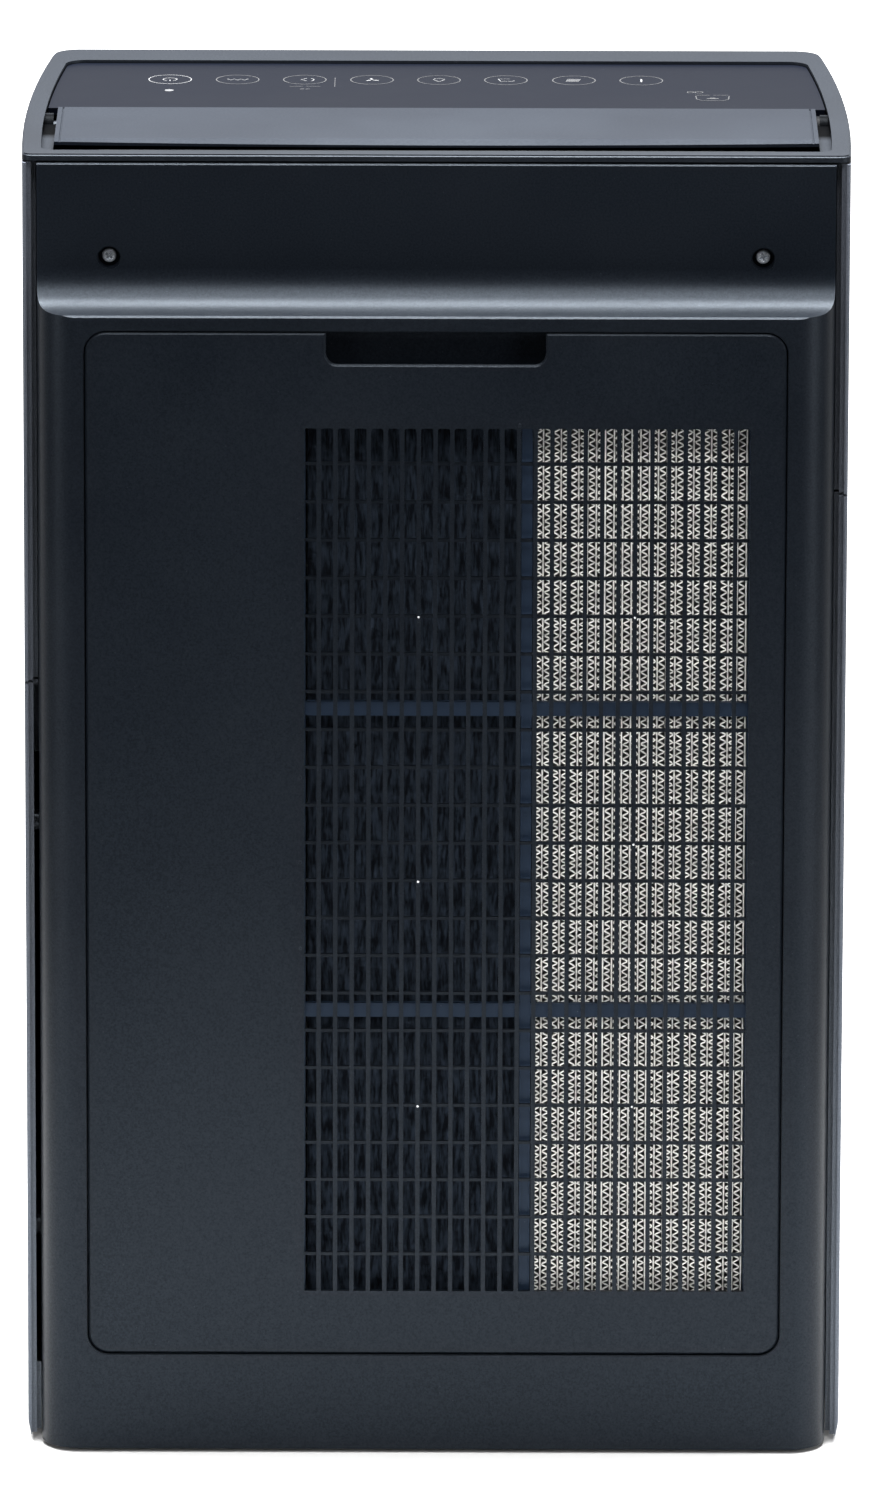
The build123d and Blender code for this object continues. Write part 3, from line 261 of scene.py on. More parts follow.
def addBump(tree, shader, height, look):
    bump = addNode(tree, "ShaderNodeBump", in_Strength=look["bump"], in_Distance=look["bumpDepth"])
    tree.links.new(height, bump.inputs["Height"])
    tree.links.new(bump.outputs["Normal"], shader.inputs["Normal"])


def paintedRecessShade(tree, place, paintedShade):
    # painted shade: 1 above a height or behind a depth, and the shade factor elsewhere, standing in for the
    # shade that the cap and flap throw on the hinge bosses and ledges below them
    axes = splitAxes(tree, place)
    above = mapRange(tree, axes["Z"], paintedShade["low"], paintedShade["high"])
    behind = mapRange(tree, axes["Y"], paintedShade["near"], paintedShade["far"])
    return mapRange(tree, maths(tree, "MAXIMUM", above, behind), 0.0, 1.0, paintedShade["shade"], 1.0)


def plasticFinish(name, look, **sockets):
    # moulded plastic: cloudy or mottled tone between two colours, dust specks, and a fine pebbled bump;
    # mottle also varies the sheen, and a painted shade darkens the colour and sheen of what lies below a
    # height and in front of a depth
    finish, tree, shader, place = startFinish(name, **sockets)
    link = tree.links.new
    s = grainSettings
    mottled = look.get("mottled", False)
    grain = addNode(tree, "ShaderNodeGroup", node_tree=mouldedGrain)
    grain.inputs["Grain Scale"].default_value = look["grain"]
    grain.inputs["Cloud Scale"].default_value = look["cloud"]
    link(place, grain.inputs["Vector"])
    tone = mixColour(tree, grain.outputs["Mottle" if mottled else "Cloud"], look["dark"], look["light"])
    colour = mixColour(tree, grain.outputs["Speck"], tone, look["dust"])
    # painted shade: the colour is taken down where the cap and flap shade the parts below them
    if "paintedShade" in look:
        clear = paintedRecessShade(tree, place, look["paintedShade"])
        colour = mixColour(tree, 1.0, colour, clear, "MULTIPLY")
    link(colour, shader.inputs["Base Color"])
    rough = mapRange(tree, grain.outputs["Cloud"], *s["roughSpread"], *look["rough"])
    link(rough, shader.inputs["Roughness"])
    if mottled:
        level = shader.inputs["Specular IOR Level"]
        swing = [level.default_value * (1 - s["sheenSwing"]), level.default_value * (1 + s["sheenSwing"])]
        sheen = mapRange(tree, grain.outputs["Mottle"], *s["sheenSpread"], *swing)
        # the painted shade takes the sheen down there too
        if "paintedShade" in look:
            sheen = maths(tree, "MULTIPLY", sheen, clear)
        link(sheen, level)
    addBump(tree, shader, grain.outputs["Height"], look)
    return finish


def clothFinish(name, look, **sockets):
    # fibrous sheet: thread tone between two colours with a fuzzy woven bump; a painted crease shade and
    # highlight, noise drawn out along a slant, can take the thread's place in the tone, and a painted shade
    # darkens the sheet below its face, down in the cells
    finish, tree, shader, place = startFinish(name, **sockets)
    link = tree.links.new
    weave = addNode(tree, "ShaderNodeGroup", node_tree=fibreWeave)
    weave.inputs["Thread Scale"].default_value = look["thread"]
    weave.inputs["Fuzz Scale"].default_value = look["fuzz"]
    link(place, weave.inputs["Vector"])
    thread = weave.outputs["Height"]
    # painted crease shade and highlight: noise stretched along a slant sets the tone in place of the thread,
    # standing in for light and shade on the felt's creases
    if "paintedCreaseShade" in look:
        paintedCreaseShade = look["paintedCreaseShade"]
        lay = addNode(tree, "ShaderNodeMapping", in_Rotation=(0, math.radians(paintedCreaseShade["slant"]), 0),
                      in_Scale=paintedCreaseShade["scale"])
        creaseShadeNoise = addNode(tree, "ShaderNodeTexNoise", in_Scale=1.0, in_Detail=3.0, in_Roughness=0.6)
        link(place, lay.inputs["Vector"])
        link(lay.outputs["Vector"], creaseShadeNoise.inputs["Vector"])
        thread = mapRange(tree, creaseShadeNoise.outputs["Fac"], *paintedCreaseShade["contrast"])
    colour = mixColour(tree, thread, look["dark"], look["light"])
    # painted shade: the sheet darkens from its face down into the cells, where they lie in shadow
    if "paintedCellShade" in look:
        paintedCellShade = look["paintedCellShade"]
        shade = mapRange(tree, splitAxes(tree, place)["Y"], paintedCellShade["deep"], paintedCellShade["face"], paintedCellShade["shade"], 1.0)
        colour = mixColour(tree, 1.0, colour, shade, "MULTIPLY")
    link(colour, shader.inputs["Base Color"])
    addBump(tree, shader, weave.outputs["Height"], look)
    return finish


graphiteLook = {"dark": (0.0011, 0.0019, 0.0034), "light": (0.003, 0.0043, 0.0067),
                "dust": (0.018, 0.021, 0.026), "rough": (0.36, 0.43), "grain": 2400.0, "cloud": 9.0,
                "bump": 0.3, "bumpDepth": 0.00006}
coolSheen = (0.74, 0.86, 1.0, 1.0)


def tinted(dark, light, **changes):
    # the graphite look in other colours
    return dict(graphiteLook, dark=dark, light=light, **changes)


def coolPlastic(name, look, level):
    # plastic with a bluish sheen
    return plasticFinish(name, look, Specular_Tint=coolSheen, Specular_IOR_Level=level)


capLook = tinted((0.0026, 0.0034, 0.0054), (0.0056, 0.0068, 0.0094), rough=(0.4, 0.5), mottled=True)
# painted shade for the cap: below 0.6372 m high and in front of 0.045 m deep, colour and sheen fall to 0.06,
# standing in for the shade over the hinge bosses
capPaintedShade = {"low": 0.6372, "high": 0.6380, "near": 0.045, "far": 0.055, "shade": 0.06}
flapLook = dict(capLook, dark=(0.0016, 0.0026, 0.0054), light=(0.0034, 0.0046, 0.0078))
# painted light: the side panels take the graphite plastic over ten times lighter, with a sheen of 0.8,
# standing in for the light that falls on the sides
sidePaintedLightLook = tinted((0.036, 0.04, 0.05), (0.056, 0.061, 0.074), mottled=True)
filmLook = tinted((0.0015, 0.0021, 0.0042), (0.0021, 0.0027, 0.005), rough=(0.34, 0.4), bump=0.12,
                  grain=3200.0)
frameLook = tinted((0.011, 0.0198, 0.037), (0.017, 0.0288, 0.052), dust=(0.09, 0.1, 0.12), rough=(0.36, 0.48),
                   grain=1600.0, bump=0.25)

graphiteCasing = coolPlastic("graphiteCasing", dict(graphiteLook, mottled=True), 0.22)
graphiteCap = coolPlastic("graphiteCap", dict(capLook, paintedShade=capPaintedShade), 0.23)
graphiteFlap = coolPlastic("graphiteFlap", flapLook, 0.28)
graphiteSidePaintedLight = coolPlastic("graphiteSidePaintedLight", sidePaintedLightLook, 0.8)
controlFilm = coolPlastic("controlFilm", filmLook, 0.05)
filterFrame = coolPlastic("filterFrame", frameLook, 0.2)
baseGrey = plasticFinish("baseGrey", tinted((0.015, 0.016, 0.018), (0.02, 0.021, 0.023)))
ductBlack = plasticFinish(
    "ductBlack", tinted((0.0032, 0.0034, 0.0038), (0.0048, 0.005, 0.0056), rough=(0.5, 0.6)))
fanGrey = plasticFinish("fanGrey", tinted((0.1, 0.102, 0.107), (0.125, 0.128, 0.132)))
paleMoulding = plasticFinish(
    "paleMoulding", tinted((0.2, 0.205, 0.212), (0.25, 0.255, 0.262), dust=(0.16, 0.16, 0.16)))
rubberBlack = plasticFinish(
    "rubberBlack",
    tinted((0.009, 0.009, 0.009), (0.015, 0.015, 0.015), rough=(0.75, 0.9), grain=1200.0, bump=0.6))
boardGreen = plasticFinish(
    "boardGreen",
    tinted((0.008, 0.05, 0.02), (0.012, 0.075, 0.03), dust=(0.4, 0.36, 0.2), rough=(0.3, 0.4), bump=0.1))
capBlue = plasticFinish("capBlue", tinted((0.03, 0.045, 0.07), (0.04, 0.055, 0.08), rough=(0.25, 0.35)))
lensMilk = plasticFinish(
    "lensMilk", tinted((0.07, 0.072, 0.075), (0.085, 0.087, 0.09), rough=(0.15, 0.25), bump=0.05))
clearTank = plasticFinish(
    "clearTank", tinted((0.16, 0.19, 0.225), (0.2, 0.23, 0.265), rough=(0.12, 0.2), bump=0.05),
    Transmission_Weight=0.7, IOR=1.45)
blackSteel = plasticFinish(
    "blackSteel", tinted((0.002, 0.0024, 0.003), (0.003, 0.0034, 0.0042), rough=(0.55, 0.65)),
    Specular_IOR_Level=0.05)
# zinc grey, made lighter and less metallic than the hidden zinc screws, so that part of the rear heads'
# brightness is painted reflection
zincPaintedReflection = plasticFinish(
    "zincPaintedReflection",
    tinted((0.5, 0.54, 0.6), (0.85, 0.9, 0.96), dust=(0.2, 0.2, 0.2), rough=(0.18, 0.3), cloud=900.0,
           bump=0.2),
    Metallic=0.35)
zincScrew = plasticFinish(
    "zincScrew",
    tinted((0.4, 0.41, 0.43), (0.55, 0.56, 0.57), dust=(0.1, 0.1, 0.1), rough=(0.22, 0.38), cloud=700.0,
           bump=0.2),
    Metallic=1.0)
motorZinc = plasticFinish(
    "motorZinc", tinted((0.3, 0.3, 0.31), (0.42, 0.42, 0.43), rough=(0.35, 0.5), cloud=60.0), Metallic=1.0)
printPale = plasticFinish(
    "printPale", tinted((0.082, 0.084, 0.087), (0.1, 0.102, 0.105), rough=(0.45, 0.55), bump=0.1))
printDim = plasticFinish(
    "printDim", tinted((0.021, 0.0216, 0.023), (0.027, 0.0276, 0.029), rough=(0.45, 0.55), bump=0.1))
# plain white for the small spots on the rib marks
spotWhite = plasticFinish(
    "spotWhite", tinted((0.5, 0.51, 0.53), (0.6, 0.61, 0.63), rough=(0.3, 0.4), bump=0.05))

mediaInset = 0.0006    # the filter media end this far inside their CAD solids
honeycombFace = float(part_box("honeycomb_block")[1][1]) - mediaInset
honeycombPaper = clothFinish(
    "honeycombPaper",
    {"dark": (0.82, 0.81, 0.76), "light": (0.95, 0.94, 0.9), "thread": 1500.0, "fuzz": 2600.0,
     "bump": 0.4, "bumpDepth": 0.0001,
     # painted shade in the paper cells: full tone at the face, down to 0.16 of it 1.2 mm lower
     "paintedCellShade": {"face": honeycombFace - 0.0001, "deep": honeycombFace - 0.0013, "shade": 0.16}},
    Roughness=0.95)
carbonFelt = clothFinish(
    "carbonFelt",
    {"dark": (0.0022, 0.0038, 0.007), "light": (0.026, 0.037, 0.055), "thread": 700.0, "fuzz": 1800.0,
     "bump": 0.8, "bumpDepth": 0.0005,
     # painted crease shade and highlight across the felt
     "paintedCreaseShade": {"slant": 28.0, "scale": (560.0, 150.0, 90.0), "contrast": (0.4, 0.64)}},
    Roughness=0.85, Specular_IOR_Level=0.1)
filterPaper = clothFinish(
    "filterPaper",
    {"dark": (0.66, 0.66, 0.64), "light": (0.85, 0.85, 0.83), "thread": 900.0, "fuzz": 2000.0,
     "bump": 0.3, "bumpDepth": 0.0003},
    Roughness=0.95)
wickCloth = clothFinish(
    "wickCloth",
    {"dark": (0.5, 0.53, 0.56), "light": (0.8, 0.82, 0.83), "thread": 260.0, "fuzz": 900.0,
     "bump": 0.8, "bumpDepth": 0.0003},
    Roughness=0.95)

nodeFinishes = {
    graphiteCasing: ("rear_casing", "back_panel", "front_panel"),
    graphiteSidePaintedLight: ("side_panel_right", "side_panel_left", "sensor_cover", "tank_cover"),
    graphiteCap: ("top_cover",),
    graphiteFlap: ("louver_flap",),
    controlFilm: ("control_panel",),
    filterFrame: ("deodoriser_frame",),
    baseGrey: ("base_plate",),
    ductBlack: ("outlet_duct", "outlet_guard", "fan_scroll", "partition", "inlet_guard", "humidifier_tray"),
    fanGrey: ("fan_impeller",),
    paleMoulding: ("humidifier_wheel", "drive_pinion", "ion_unit", "dust_sensor", "hepa_frame"),
    rubberBlack: ("rubber_feet", "tank_seal", "cord_gland"),
    boardGreen: ("control_board", "power_board"),
    capBlue: ("tank_cap",),
    lensMilk: ("status_lens",),
    clearTank: ("water_tank", "tank_lid", "tank_handle"),
    zincScrew: ("base_screws", "rear_screws", "motor_screws", "hub_nut", "motor_shaft", "wheel_axle"),
    blackSteel: ("louver_shaft", "louver_motor"),
    motorZinc: ("fan_motor", "gear_motor", "motor_bracket"),
    filterPaper: ("hepa_pleats",),
    wickCloth: ("wheel_media",),
    honeycombPaper: ("honeycomb_block",),
    carbonFelt: ("carbon_pack",),
}
for finish, names in nodeFinishes.items():
    for name in names:
        nodes[name].data.materials.clear()
        nodes[name].data.materials.append(finish)
print("finishes on", sum(len(n) for n in nodeFinishes.values()), "nodes")


# Corrugated paper block

honeycombSettings = {"layerPitch": 0.0041, "flutePitch": 0.0035, "paper": 0.00068, "samplesPerFlute": 6,
                     "edge": mediaInset, "cellDepth": 0.006, "unevenness": 0.3, "driftCells": 90,
                     "sharpness": 0.97, "clearance": 0.9, "startSeed": 3, "driftSeed": 5}


def wallBars(x, z, y0, y1, thick):
    # x, z: (bars, samples) centre lines in the x-z plane; each bar is thick across its line and y0..y1 deep
    dx, dz = np.gradient(x, axis=1), np.gradient(z, axis=1)
    size = np.hypot(dx, dz)
    nx, nz = dz / size * thick / 2, -dx / size * thick / 2
    near, far = np.full_like(x, y0), np.full_like(x, y1)
    corners = ((x + nx, near, z + nz), (x + nx, far, z + nz), (x - nx, far, z - nz), (x - nx, near, z - nz))
    points = np.stack([np.stack(corner, -1) for corner in corners], -2)
    return points, repeatQuads(barQuads(x.shape[1]), x.shape[0], x.shape[1] * 4)


def boxPart(low, high):
    # corners and outward quads of a plain box
    spans = list(zip(low, high))
    corners = np.array([(x, y, z) for z in spans[2] for y in spans[1] for x in spans[0]])
    quads = np.array([(0, 2, 3, 1), (4, 5, 7, 6), (0, 1, 5, 4), (2, 6, 7, 3), (0, 4, 6, 2), (1, 3, 7, 5)])
    return corners, quads


def makeHoneycomb(s):
    # zigzag flutes between straight liners, standing on a closed backing
    low, high = (np.array(v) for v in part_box("honeycomb_block"))
    low, high = low + s["edge"], high - s["edge"]
    layers = int((high[0] - low[0]) // s["layerPitch"])
    pitch = (high[0] - low[0]) / layers
    flutes = int((high[2] - low[2]) // s["flutePitch"])
    samples = flutes * s["samplesPerFlute"] + 1
    z = np.linspace(low[2], high[2], samples)
    # each layer starts its flutes elsewhere and drifts along them, so that neighbours don't line up
    start = np.random.default_rng(s["startSeed"]).random((layers, 1))
    drift = s["unevenness"] * cloudField(samples, layers, (s["driftCells"], layers), s["driftSeed"]).T
    phase = 2 * np.pi * (np.linspace(0, flutes, samples)[None] + start + drift)
    # rounded zigzag = arcsine of a slightly lowered sine, brought back to full height
    zigzag = np.arcsin(s["sharpness"] * np.sin(phase)) / np.arcsin(s["sharpness"])
    middle = low[0] + pitch * (np.arange(layers) + 0.5)
    x = middle[:, None] + (pitch / 2 - s["paper"] * s["clearance"]) * zigzag
    floorY = high[1] - s["cellDepth"]
    linerX = np.repeat((low[0] + pitch * np.arange(layers + 1))[:, None], 2, 1)
    linerZ = np.repeat(np.array([[low[2], high[2]]]), layers + 1, 0)
    points, faces = joinParts([
        wallBars(x, np.broadcast_to(z, x.shape), floorY, high[1], s["paper"]),
        wallBars(linerX, linerZ, floorY, high[1], s["paper"]),
        boxPart(low, (high[0], floorY, high[2]))])
    addPiece("corrugatedCore", points, faces, "housing", honeycombPaper,
             stands=("honeycomb_block",))
    print("honeycomb:", layers, "layers,", flutes, "flutes,", len(faces), "faces")


makeHoneycomb(honeycombSettings)


# Carbon felt with a creased, matted rear face

feltSettings = {"across": 110, "up": 440, "crease": 0.0034, "matting": 0.0014, "creaseCells": (60, 9),
                "mattingCells": (210, 52), "slant": 0.35, "edge": mediaInset, "creaseSeed": 11,
                "mattingSeed": 12}


def makeFelt(s):
    # depth below the felt's face = broad slanting creases + fine matting; flat walls and a flat back close it
    low, high = (np.array(v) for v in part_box("carbon_pack"))
    low, high = low + s["edge"], high - s["edge"]
    rows, cols = s["up"], s["across"]
    x = np.broadcast_to(np.linspace(low[0], high[0], cols), (rows, cols))
    z = np.broadcast_to(np.linspace(low[2], high[2], rows)[:, None], (rows, cols))
    broad = cloudField(rows, cols, s["creaseCells"], s["creaseSeed"])
    slant = np.stack([np.roll(broad[:, c], int(c * s["slant"])) for c in range(cols)], 1)
    fine = cloudField(rows, cols, s["mattingCells"], s["mattingSeed"])
    dip = s["crease"] * slant + s["matting"] * fine
    top = np.stack([x, high[1] - dip, z], -1)
    base = np.stack([x, np.full((rows, cols), low[1]), z], -1)
    count = rows * cols
    quads = gridQuads(rows, cols)
    index = np.arange(count).reshape(rows, cols)
    rim = np.concatenate([index[0, :-1], index[:-1, -1], index[-1, :0:-1], index[:0:-1, 0]])
    after = np.roll(rim, -1)
    walls = np.stack([rim, rim + count, after + count, after], -1)
    faces = np.vstack([quads[:, ::-1], quads + count, walls[:, ::-1]])
    points = np.vstack([top.reshape(-1, 3), base.reshape(-1, 3)])
    addPiece("carbonMat", points, faces, "housing", carbonFelt, smooth=True,
             stands=("carbon_pack",))
    print("felt:", len(faces), "faces")


makeFelt(feltSettings)


# Round wick of folded cloth

wickSettings = {"inner": 0.0123, "outer": 0.0821, "ridges": 64, "fold": 0.0022, "radial": 14, "around": 768}


def makeWick(s):
    # folds run outwards: depth of each face = half a cosine round the axle, let out towards the rim
    low, high = (np.array(v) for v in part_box("wheel_media"))
    centre = (low + high) / 2
    r = np.linspace(s["inner"], s["outer"], s["radial"])[:, None]
    a = np.linspace(0, 2 * np.pi, s["around"], endpoint=False)[None]
    fold = s["fold"] * (0.5 - 0.5 * np.cos(s["ridges"] * a)) * r / s["outer"]
    front = turned(centre[0], centre[2], r, a, low[1] + fold)
    back = turned(centre[0], centre[2], r, a, high[1] - fold)
    grid = np.concatenate([front, back[::-1]], 0)
    faces = gridQuads(len(grid), s["around"], wrapRows=True, wrapCols=True)[:, ::-1]
    addPiece("foldedWick", grid, faces, "wheel", wickCloth, smooth=True,
             stands=("wheel_media",))
    print("wick:", len(faces), "faces")


makeWick(wickSettings)


# Moulding marks on the back panel: gate spots on the ribs and ejector craters in the plate

markSettings = {"face": 0.1325, "below": 0.0017, "sink": 0.00005, "around": 20,
                "spots": ((0.00796, 0.4178), (-0.09526, 0.4178), (0.00796, 0.2869), (-0.09526, 0.3056),
                          (0.00796, 0.1748), (-0.09526, 0.1748)),
                "spotRadii": (0.00002, 0.0002, 0.00035, 0.00048, 0.00055),
                "spotHeights": (0.0003, 0.00026, 0.00018, 0.00008, 0.0),
                "craters": ((-0.0398, 0.512), (0.0645, 0.3385), (0.0645, 0.2964), (0.0645, 0.2536),
                            (-0.1520, 0.297), (-0.0406, 0.0788)),
                "craterRadii": (0.00002, 0.0003, 0.0005, 0.0007, 0.0009),
                "craterHeights": (0.00001, 0.00002, 0.00009, 0.00012, 0.0)}


def polarMarks(places, radii, heights, s):
    # each mark turns one height profile round its place and closes it a little below the face
    r = np.append(radii, (radii[-1], radii[0]))[None, :, None]
    h = np.append(heights, (-s["sink"], -s["sink"]))[None, :, None]
    a = np.linspace(0, 2 * np.pi, s["around"], endpoint=False)[None, None]
    spot = np.array(places)[:, :, None, None]
    grid = turned(spot[:, 0], spot[:, 1], r, a, s["face"] + h)
    one = gridQuads(r.shape[1], s["around"], wrapCols=True)[:, ::-1]
    return grid, repeatQuads(one, len(places), r.shape[1] * s["around"])


def makeMarks(s):
    # a shallow crater also lies a little below each gate spot
    low = tuple((x, z - s["below"]) for x, z in s["spots"])
    points, faces = polarMarks(s["craters"] + low, s["craterRadii"], s["craterHeights"], s)
    addPiece("ejectorCraters", points, faces, "rear_panel", graphiteCasing, smooth=True)
    points, faces = polarMarks(s["spots"], s["spotRadii"], s["spotHeights"], s)
    addPiece("gateSpots", points, faces, "rear_panel", spotWhite, smooth=True)
    print("moulding marks:", len(s["craters"]) + 2 * len(s["spots"]))


makeMarks(markSettings)


# Printed marks on the control panel; each note is a path and its width in lines

printSettings = {"keys": (0.1299, 0.0970, 0.0643, 0.0316, -0.0010, -0.0336, -0.0667, -0.0995), "row": -0.0655,
                 "ring": 0.01035, "symbol": 0.0034, "line": 0.00046, "bold": 0.0011, "height": 0.00006,
                 "lift": 0.00002, "ringSteps": 65, "ovalSteps": 25,
                 "notes": ((((0.0716, -0.0500), (0.0650, -0.0500)), 1.0),
                           (((0.0636, -0.0500), (0.0566, -0.0500)), 1.0),
                           (((0.0665, -0.0438), (0.0645, -0.0438)), 2.0),
                           (((0.0637, -0.0438), (0.0617, -0.0438)), 2.0),
                           (((0.0496, -0.0700), (0.0496, -0.0490)), 0.6),
                           (((-0.1411, -0.0318), (-0.1340, -0.0318)), 1.0),
                           (((-0.1325, -0.0318), (-0.1253, -0.0318)), 1.0),
                           (((-0.1254, -0.0300), (-0.1258, -0.0225), (-0.1285, -0.0195),
                             (-0.1385, -0.0195), (-0.1412, -0.0225), (-0.1416, -0.0300)), 1.0),
                           (((-0.1306, -0.0240), (-0.1364, -0.0240)), 2.4),
                           (((-0.1322, -0.0253), (-0.1348, -0.0253)), 2.4)),
                 "ovals": ((-0.1271, -0.0386, 0.0019), (-0.1230, -0.0386, 0.0015))}


def ribbonAlong(path, width, height, top, closed):
    # flat printed line: a rectangle section carried along a plan path (n, 2)
    path = np.asarray(path, float)
    if closed:
        along = np.roll(path, -1, 0) - np.roll(path, 1, 0)
        quads = gridQuads(len(path), 4, wrapRows=True, wrapCols=True)
    else:
        along = np.gradient(path, axis=0)
        quads = barQuads(len(path))
    along /= np.linalg.norm(along, axis=1)[:, None]
    side = np.stack([-along[:, 1], along[:, 0]], -1) * width / 2
    zTop, zLow = np.full((len(path), 1), top + height), np.full((len(path), 1), top)
    rings = np.stack([np.hstack([path + side, zLow]), np.hstack([path - side, zLow]),
                      np.hstack([path - side, zTop]), np.hstack([path + side, zTop])], 1)
    return rings, quads


def arcPath(cx, cy, radius, start, end, steps):
    a = np.radians(np.linspace(start, end, steps))
    return np.stack([cx + radius * np.cos(a), cy + radius * np.sin(a)], -1)


def circlePath(cx, cy, radius, steps):
    # the last point of a full turn is the first again, and is left out
    return arcPath(cx, cy, radius, 0, 360, steps)[:-1]


def keySymbols(s):
    # small generic line symbols, one per key, in units of the symbol size, to be read from the front
    fine, bold = s["line"], s["bold"]

    def spoke(turn, reach):
        return arcPath(0, 0, reach, turn, turn, 1)[0]

    power = [(arcPath(0, 0, 1.0, 115, 425, 26), fine), ([(0, 0.2), (0, 1.2)], fine)]
    wave = [([(-1.5, -0.4), (-1, 0.4), (-0.5, -0.4), (0, 0.4), (0.5, -0.4), (1, 0.4), (1.5, -0.4)], fine)]
    swirl = [([(-0.3, 0.9), (0.6, 0.1), (-0.3, -0.9)], fine), (arcPath(-0.2, 0, 1.1, 130, 230, 12), fine)]
    fan = [((spoke(turn, 0.2), spoke(turn + 20, 1)), bold) for turn in (20, 140, 260)]
    drop = [([(-0.75, -0.2), (0, 1.2), (0.75, -0.2)], fine),
            (arcPath(0, -0.3, 0.8, 180, 360, 14), fine * 0.6)]
    louver = [([(1.1, -0.9), (0.75, 0.75), (-0.9, 0.75), (-1.2, 0.3)], fine),
              ([(0.9, -0.9), (-0.6, -0.9)], fine * 0.6)]
    pleats = [([(0.9 + 0.1 * k, -0.7 + 0.45 * k), (-1.0 + 0.1 * k, -0.7 + 0.45 * k)], fine) for k in range(4)]
    mark = [([(0, -0.9), (0, 0.9)], bold * 0.8)]
    return power, wave, swirl, fan, drop, louver, pleats, mark


def makePrints(s):
    top = float(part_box("control_panel")[1].z) + s["lift"]
    line = s["line"]
    rings = [(circlePath(x, s["row"], s["ring"], s["ringSteps"]), line) for x in s["keys"]]
    ovals = [(circlePath(*oval, s["ovalSteps"]), line) for oval in s["ovals"]]
    symbols = [(np.array((x, s["row"])) + s["symbol"] * np.array(path), width)
               for x, drawing in zip(s["keys"], keySymbols(s)) for path, width in drawing]
    notes = [(path, lines * line) for path, lines in s["notes"]]
    groups = {"keyPrints": (printPale, symbols, rings[:1]), "keyRings": (printDim, notes, rings[1:] + ovals)}
    for name, (finish, openLines, loops) in groups.items():
        paths = [(*v, False) for v in openLines] + [(*v, True) for v in loops]
        points, faces = joinParts([ribbonAlong(path, width, s["height"], top, closed)
                                   for path, width, closed in paths])
        addPiece(name, points, faces, "housing", finish)
        print("printed marks,", name + ":", len(paths))


makePrints(printSettings)


# Rear screws with a cross recess

screwSettings = {"radius": 0.0034, "dome": 0.0011, "rim": 0.0015, "head": 0.0026, "shank": 0.0019,
                 "tip": 0.00001, "slotHalf": 0.00055, "slotReach": 0.0021, "slotDepth": 0.0013,
                 "sideEase": 0.0002, "endEase": 0.0003, "turns": (20.0, 55.0), "radial": 26, "around": 72}


def makeScrews(s):
    # head height over the polar grid = shallow dome, less a cross-shaped pit; a skirt and a shank close it
    low, high = (np.array(v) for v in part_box("rear_screws"))
    z = (low[2] + high[2]) / 2
    seat = high[1] - s["head"]
    r = np.linspace(s["tip"], s["radius"], s["radial"])[:, None]
    a = np.linspace(0, 2 * np.pi, s["around"], endpoint=False)[None]
    dome = s["rim"] + s["dome"] * np.sqrt(np.clip(1 - (r / s["radius"]) ** 2, 0, 1))
    skirtRadii = np.array([s["radius"], s["shank"], s["shank"], s["tip"]])[:, None]
    skirtDepths = np.array([0, 0, low[1] - seat, low[1] - seat])[:, None]

    def slotMask(across, along):
        # 1 inside one slot of the cross, eased over its sides and its ends
        sides = np.clip((s["slotHalf"] - across) / s["sideEase"], 0, 1)
        ends = np.clip((s["slotReach"] - along) / s["endEase"], 0, 1)
        return np.minimum(sides, ends)

    parts = []
    for x, turn in zip((low[0] + s["radius"], high[0] - s["radius"]), s["turns"]):
        b = a + np.radians(turn)
        u, v = np.abs(r * np.cos(b)), np.abs(r * np.sin(b))
        height = dome - s["slotDepth"] * np.maximum(slotMask(v, u), slotMask(u, v))
        head = turned(x, z, r, a, seat + height)
        skirt = turned(x, z, skirtRadii, a, seat + skirtDepths)
        grid = np.concatenate([head, skirt], 0)
        parts.append((grid, gridQuads(len(grid), s["around"], wrapCols=True)[:, ::-1]))
    points, faces = joinParts(parts)
    addPiece("crossScrews", points, faces, "housing", zincPaintedReflection, stands=("rear_screws",))
    print("screws cut:", len(parts))


makeScrews(screwSettings)


# Stage: pale floor, soft light, camera

stageSettings = {"floorHalf": 0.8, "floorTone": 0.45, "aim": (0.0, 0.1, 0.35),
                 "lamps": {"overhead": {"size": (1.9, 0.9), "place": (0.0, -0.22, 2.5), "power": 470.0},
                           "frontTop": {"size": (2.4, 1.0), "place": (0.0, 1.5, 2.9), "power": 103.0},
                           "leftFill": {"size": (1.2, 1.6), "place": (2.9, 2.1, 1.0), "power": 45.0},
                           "rightFill": {"size": (1.2, 1.6), "place": (-2.9, 2.1, 1.0), "power": 72.0}},
                 "worldTop": 0.6, "topSpread": (0.1, 0.9), "worldFront": 0.06, "worldBack": 0.85,
                 "backSpread": (0.2, -0.6), "backdrop": 3.0}


def makeFloor(s):
    half = s["floorHalf"]
    mesh = bpy.data.meshes.new("floor")
    corners = [(-half, -half, 0), (half, -half, 0), (half, half, 0), (-half, half, 0)]
    mesh.from_pydata(corners, [], [(0, 1, 2, 3)])
    floor = bpy.data.objects.new("floor", mesh)
    bpy.context.scene.collection.objects.link(floor)
    tone = (s["floorTone"], s["floorTone"], s["floorTone"], 1)
    mesh.materials.append(startFinish("paleFloor", Roughness=0.9, Base_Color=tone)[0])


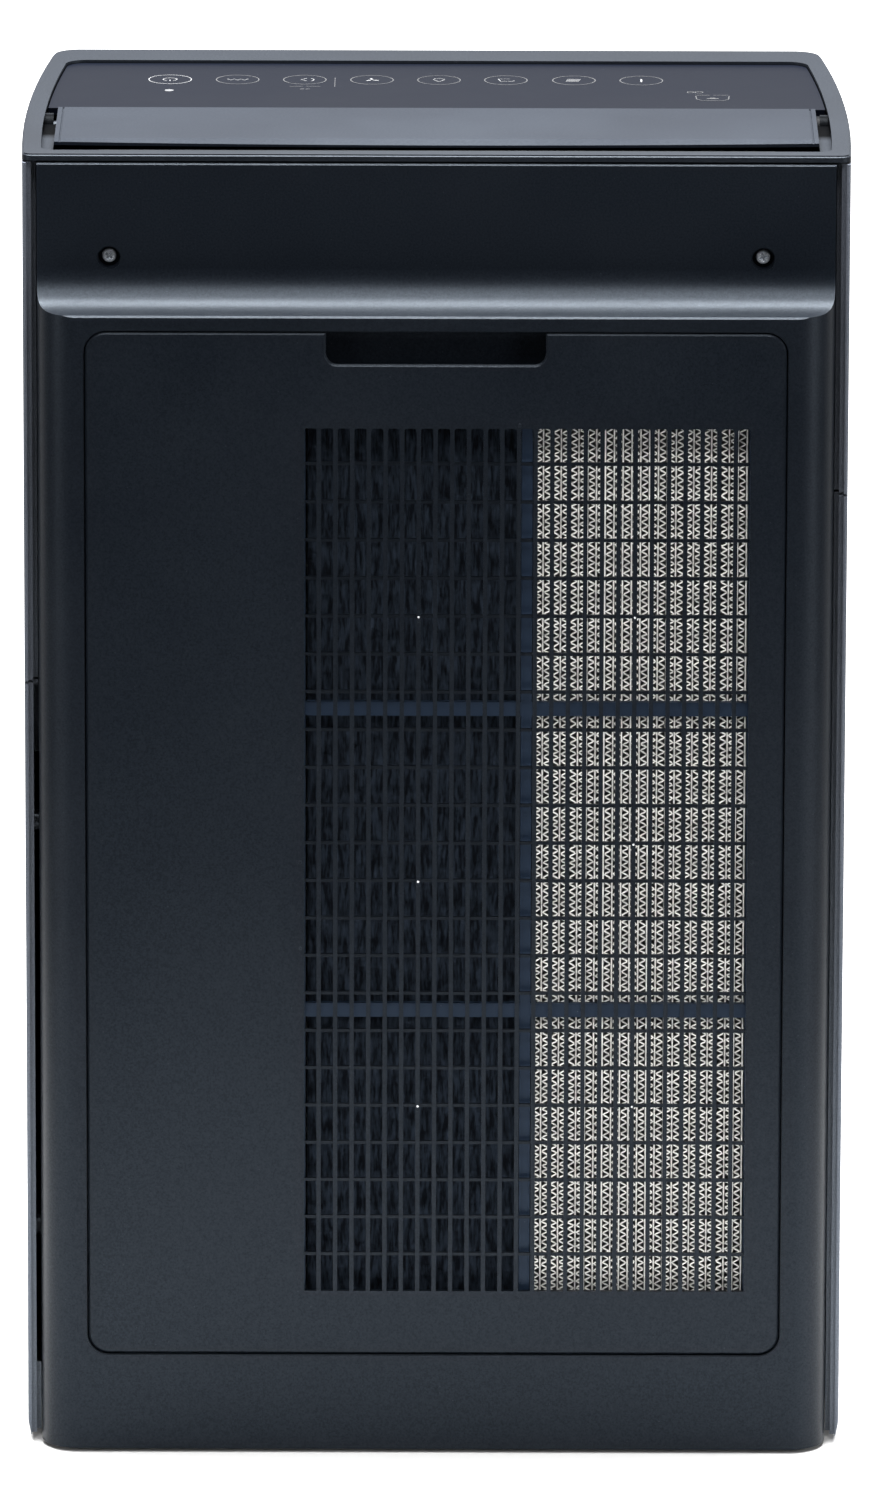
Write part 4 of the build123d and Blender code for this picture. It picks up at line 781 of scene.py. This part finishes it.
def makeLamps(s):
    for name, spec in s["lamps"].items():
        lamp = bpy.data.lights.new(name, "AREA")
        lamp.shape = "RECTANGLE"
        lamp.size, lamp.size_y = spec["size"]
        lamp.energy = spec["power"]
        box = bpy.data.objects.new(name, lamp)
        place = Vector(spec["place"])
        aim = (Vector(s["aim"]) - place).to_track_quat("-Z", "Y")
        box.matrix_world = Matrix.Translation(place) @ aim.to_matrix().to_4x4()
        bpy.context.scene.collection.objects.link(box)


def makeWorld(s):
    # light from above and from behind the object, whichever is stronger, before a plain white backdrop
    world = bpy.data.worlds.new("studio")
    bpy.context.scene.world = world
    world.use_nodes = True
    tree = world.node_tree
    tree.nodes.clear()
    axes = splitAxes(tree, addNode(tree, "ShaderNodeTexCoord").outputs["Generated"])
    up = mapRange(tree, axes["Z"], *s["topSpread"], 0.0, s["worldTop"], interpolation_type="SMOOTHSTEP")
    back = mapRange(tree, axes["Y"], *s["backSpread"], s["worldFront"], s["worldBack"],
                    interpolation_type="SMOOTHSTEP")
    rays = addNode(tree, "ShaderNodeLightPath")
    seen = addNode(tree, "ShaderNodeMix", data_type="FLOAT", in_B=s["backdrop"])
    sky = addNode(tree, "ShaderNodeBackground")
    out = addNode(tree, "ShaderNodeOutputWorld")
    link = tree.links.new
    link(maths(tree, "MAXIMUM", up, back), seen.inputs["A"])
    link(rays.outputs["Is Camera Ray"], seen.inputs["Factor"])
    link(seen.outputs["Result"], sky.inputs["Strength"])
    link(sky.outputs["Background"], out.inputs["Surface"])


cameraSettings = {"place": (-0.00506, 6.6473, 2.0637), "pitch": 75.257, "roll": 0.155, "lens": 335.2,
                  "sensor": 36.0, "reach": 60.0}


def makeCamera(s):
    data = bpy.data.cameras.new("camera")
    data.sensor_fit = "VERTICAL"
    data.sensor_height = s["sensor"]
    data.lens = s["lens"]
    data.clip_end = s["reach"]
    camera = bpy.data.objects.new("camera", data)
    turn = Matrix.Rotation(math.pi, 4, "Z") @ Matrix.Rotation(math.radians(s["pitch"]), 4, "X")
    roll = Matrix.Rotation(math.radians(s["roll"]), 4, "Z")
    camera.matrix_world = Matrix.Translation(s["place"]) @ turn @ roll
    bpy.context.scene.collection.objects.link(camera)
    bpy.context.scene.camera = camera


makeFloor(stageSettings)
makeLamps(stageSettings)
makeWorld(stageSettings)
makeCamera(cameraSettings)
bpy.context.scene.view_settings.view_transform = "Standard"
print("stage set")
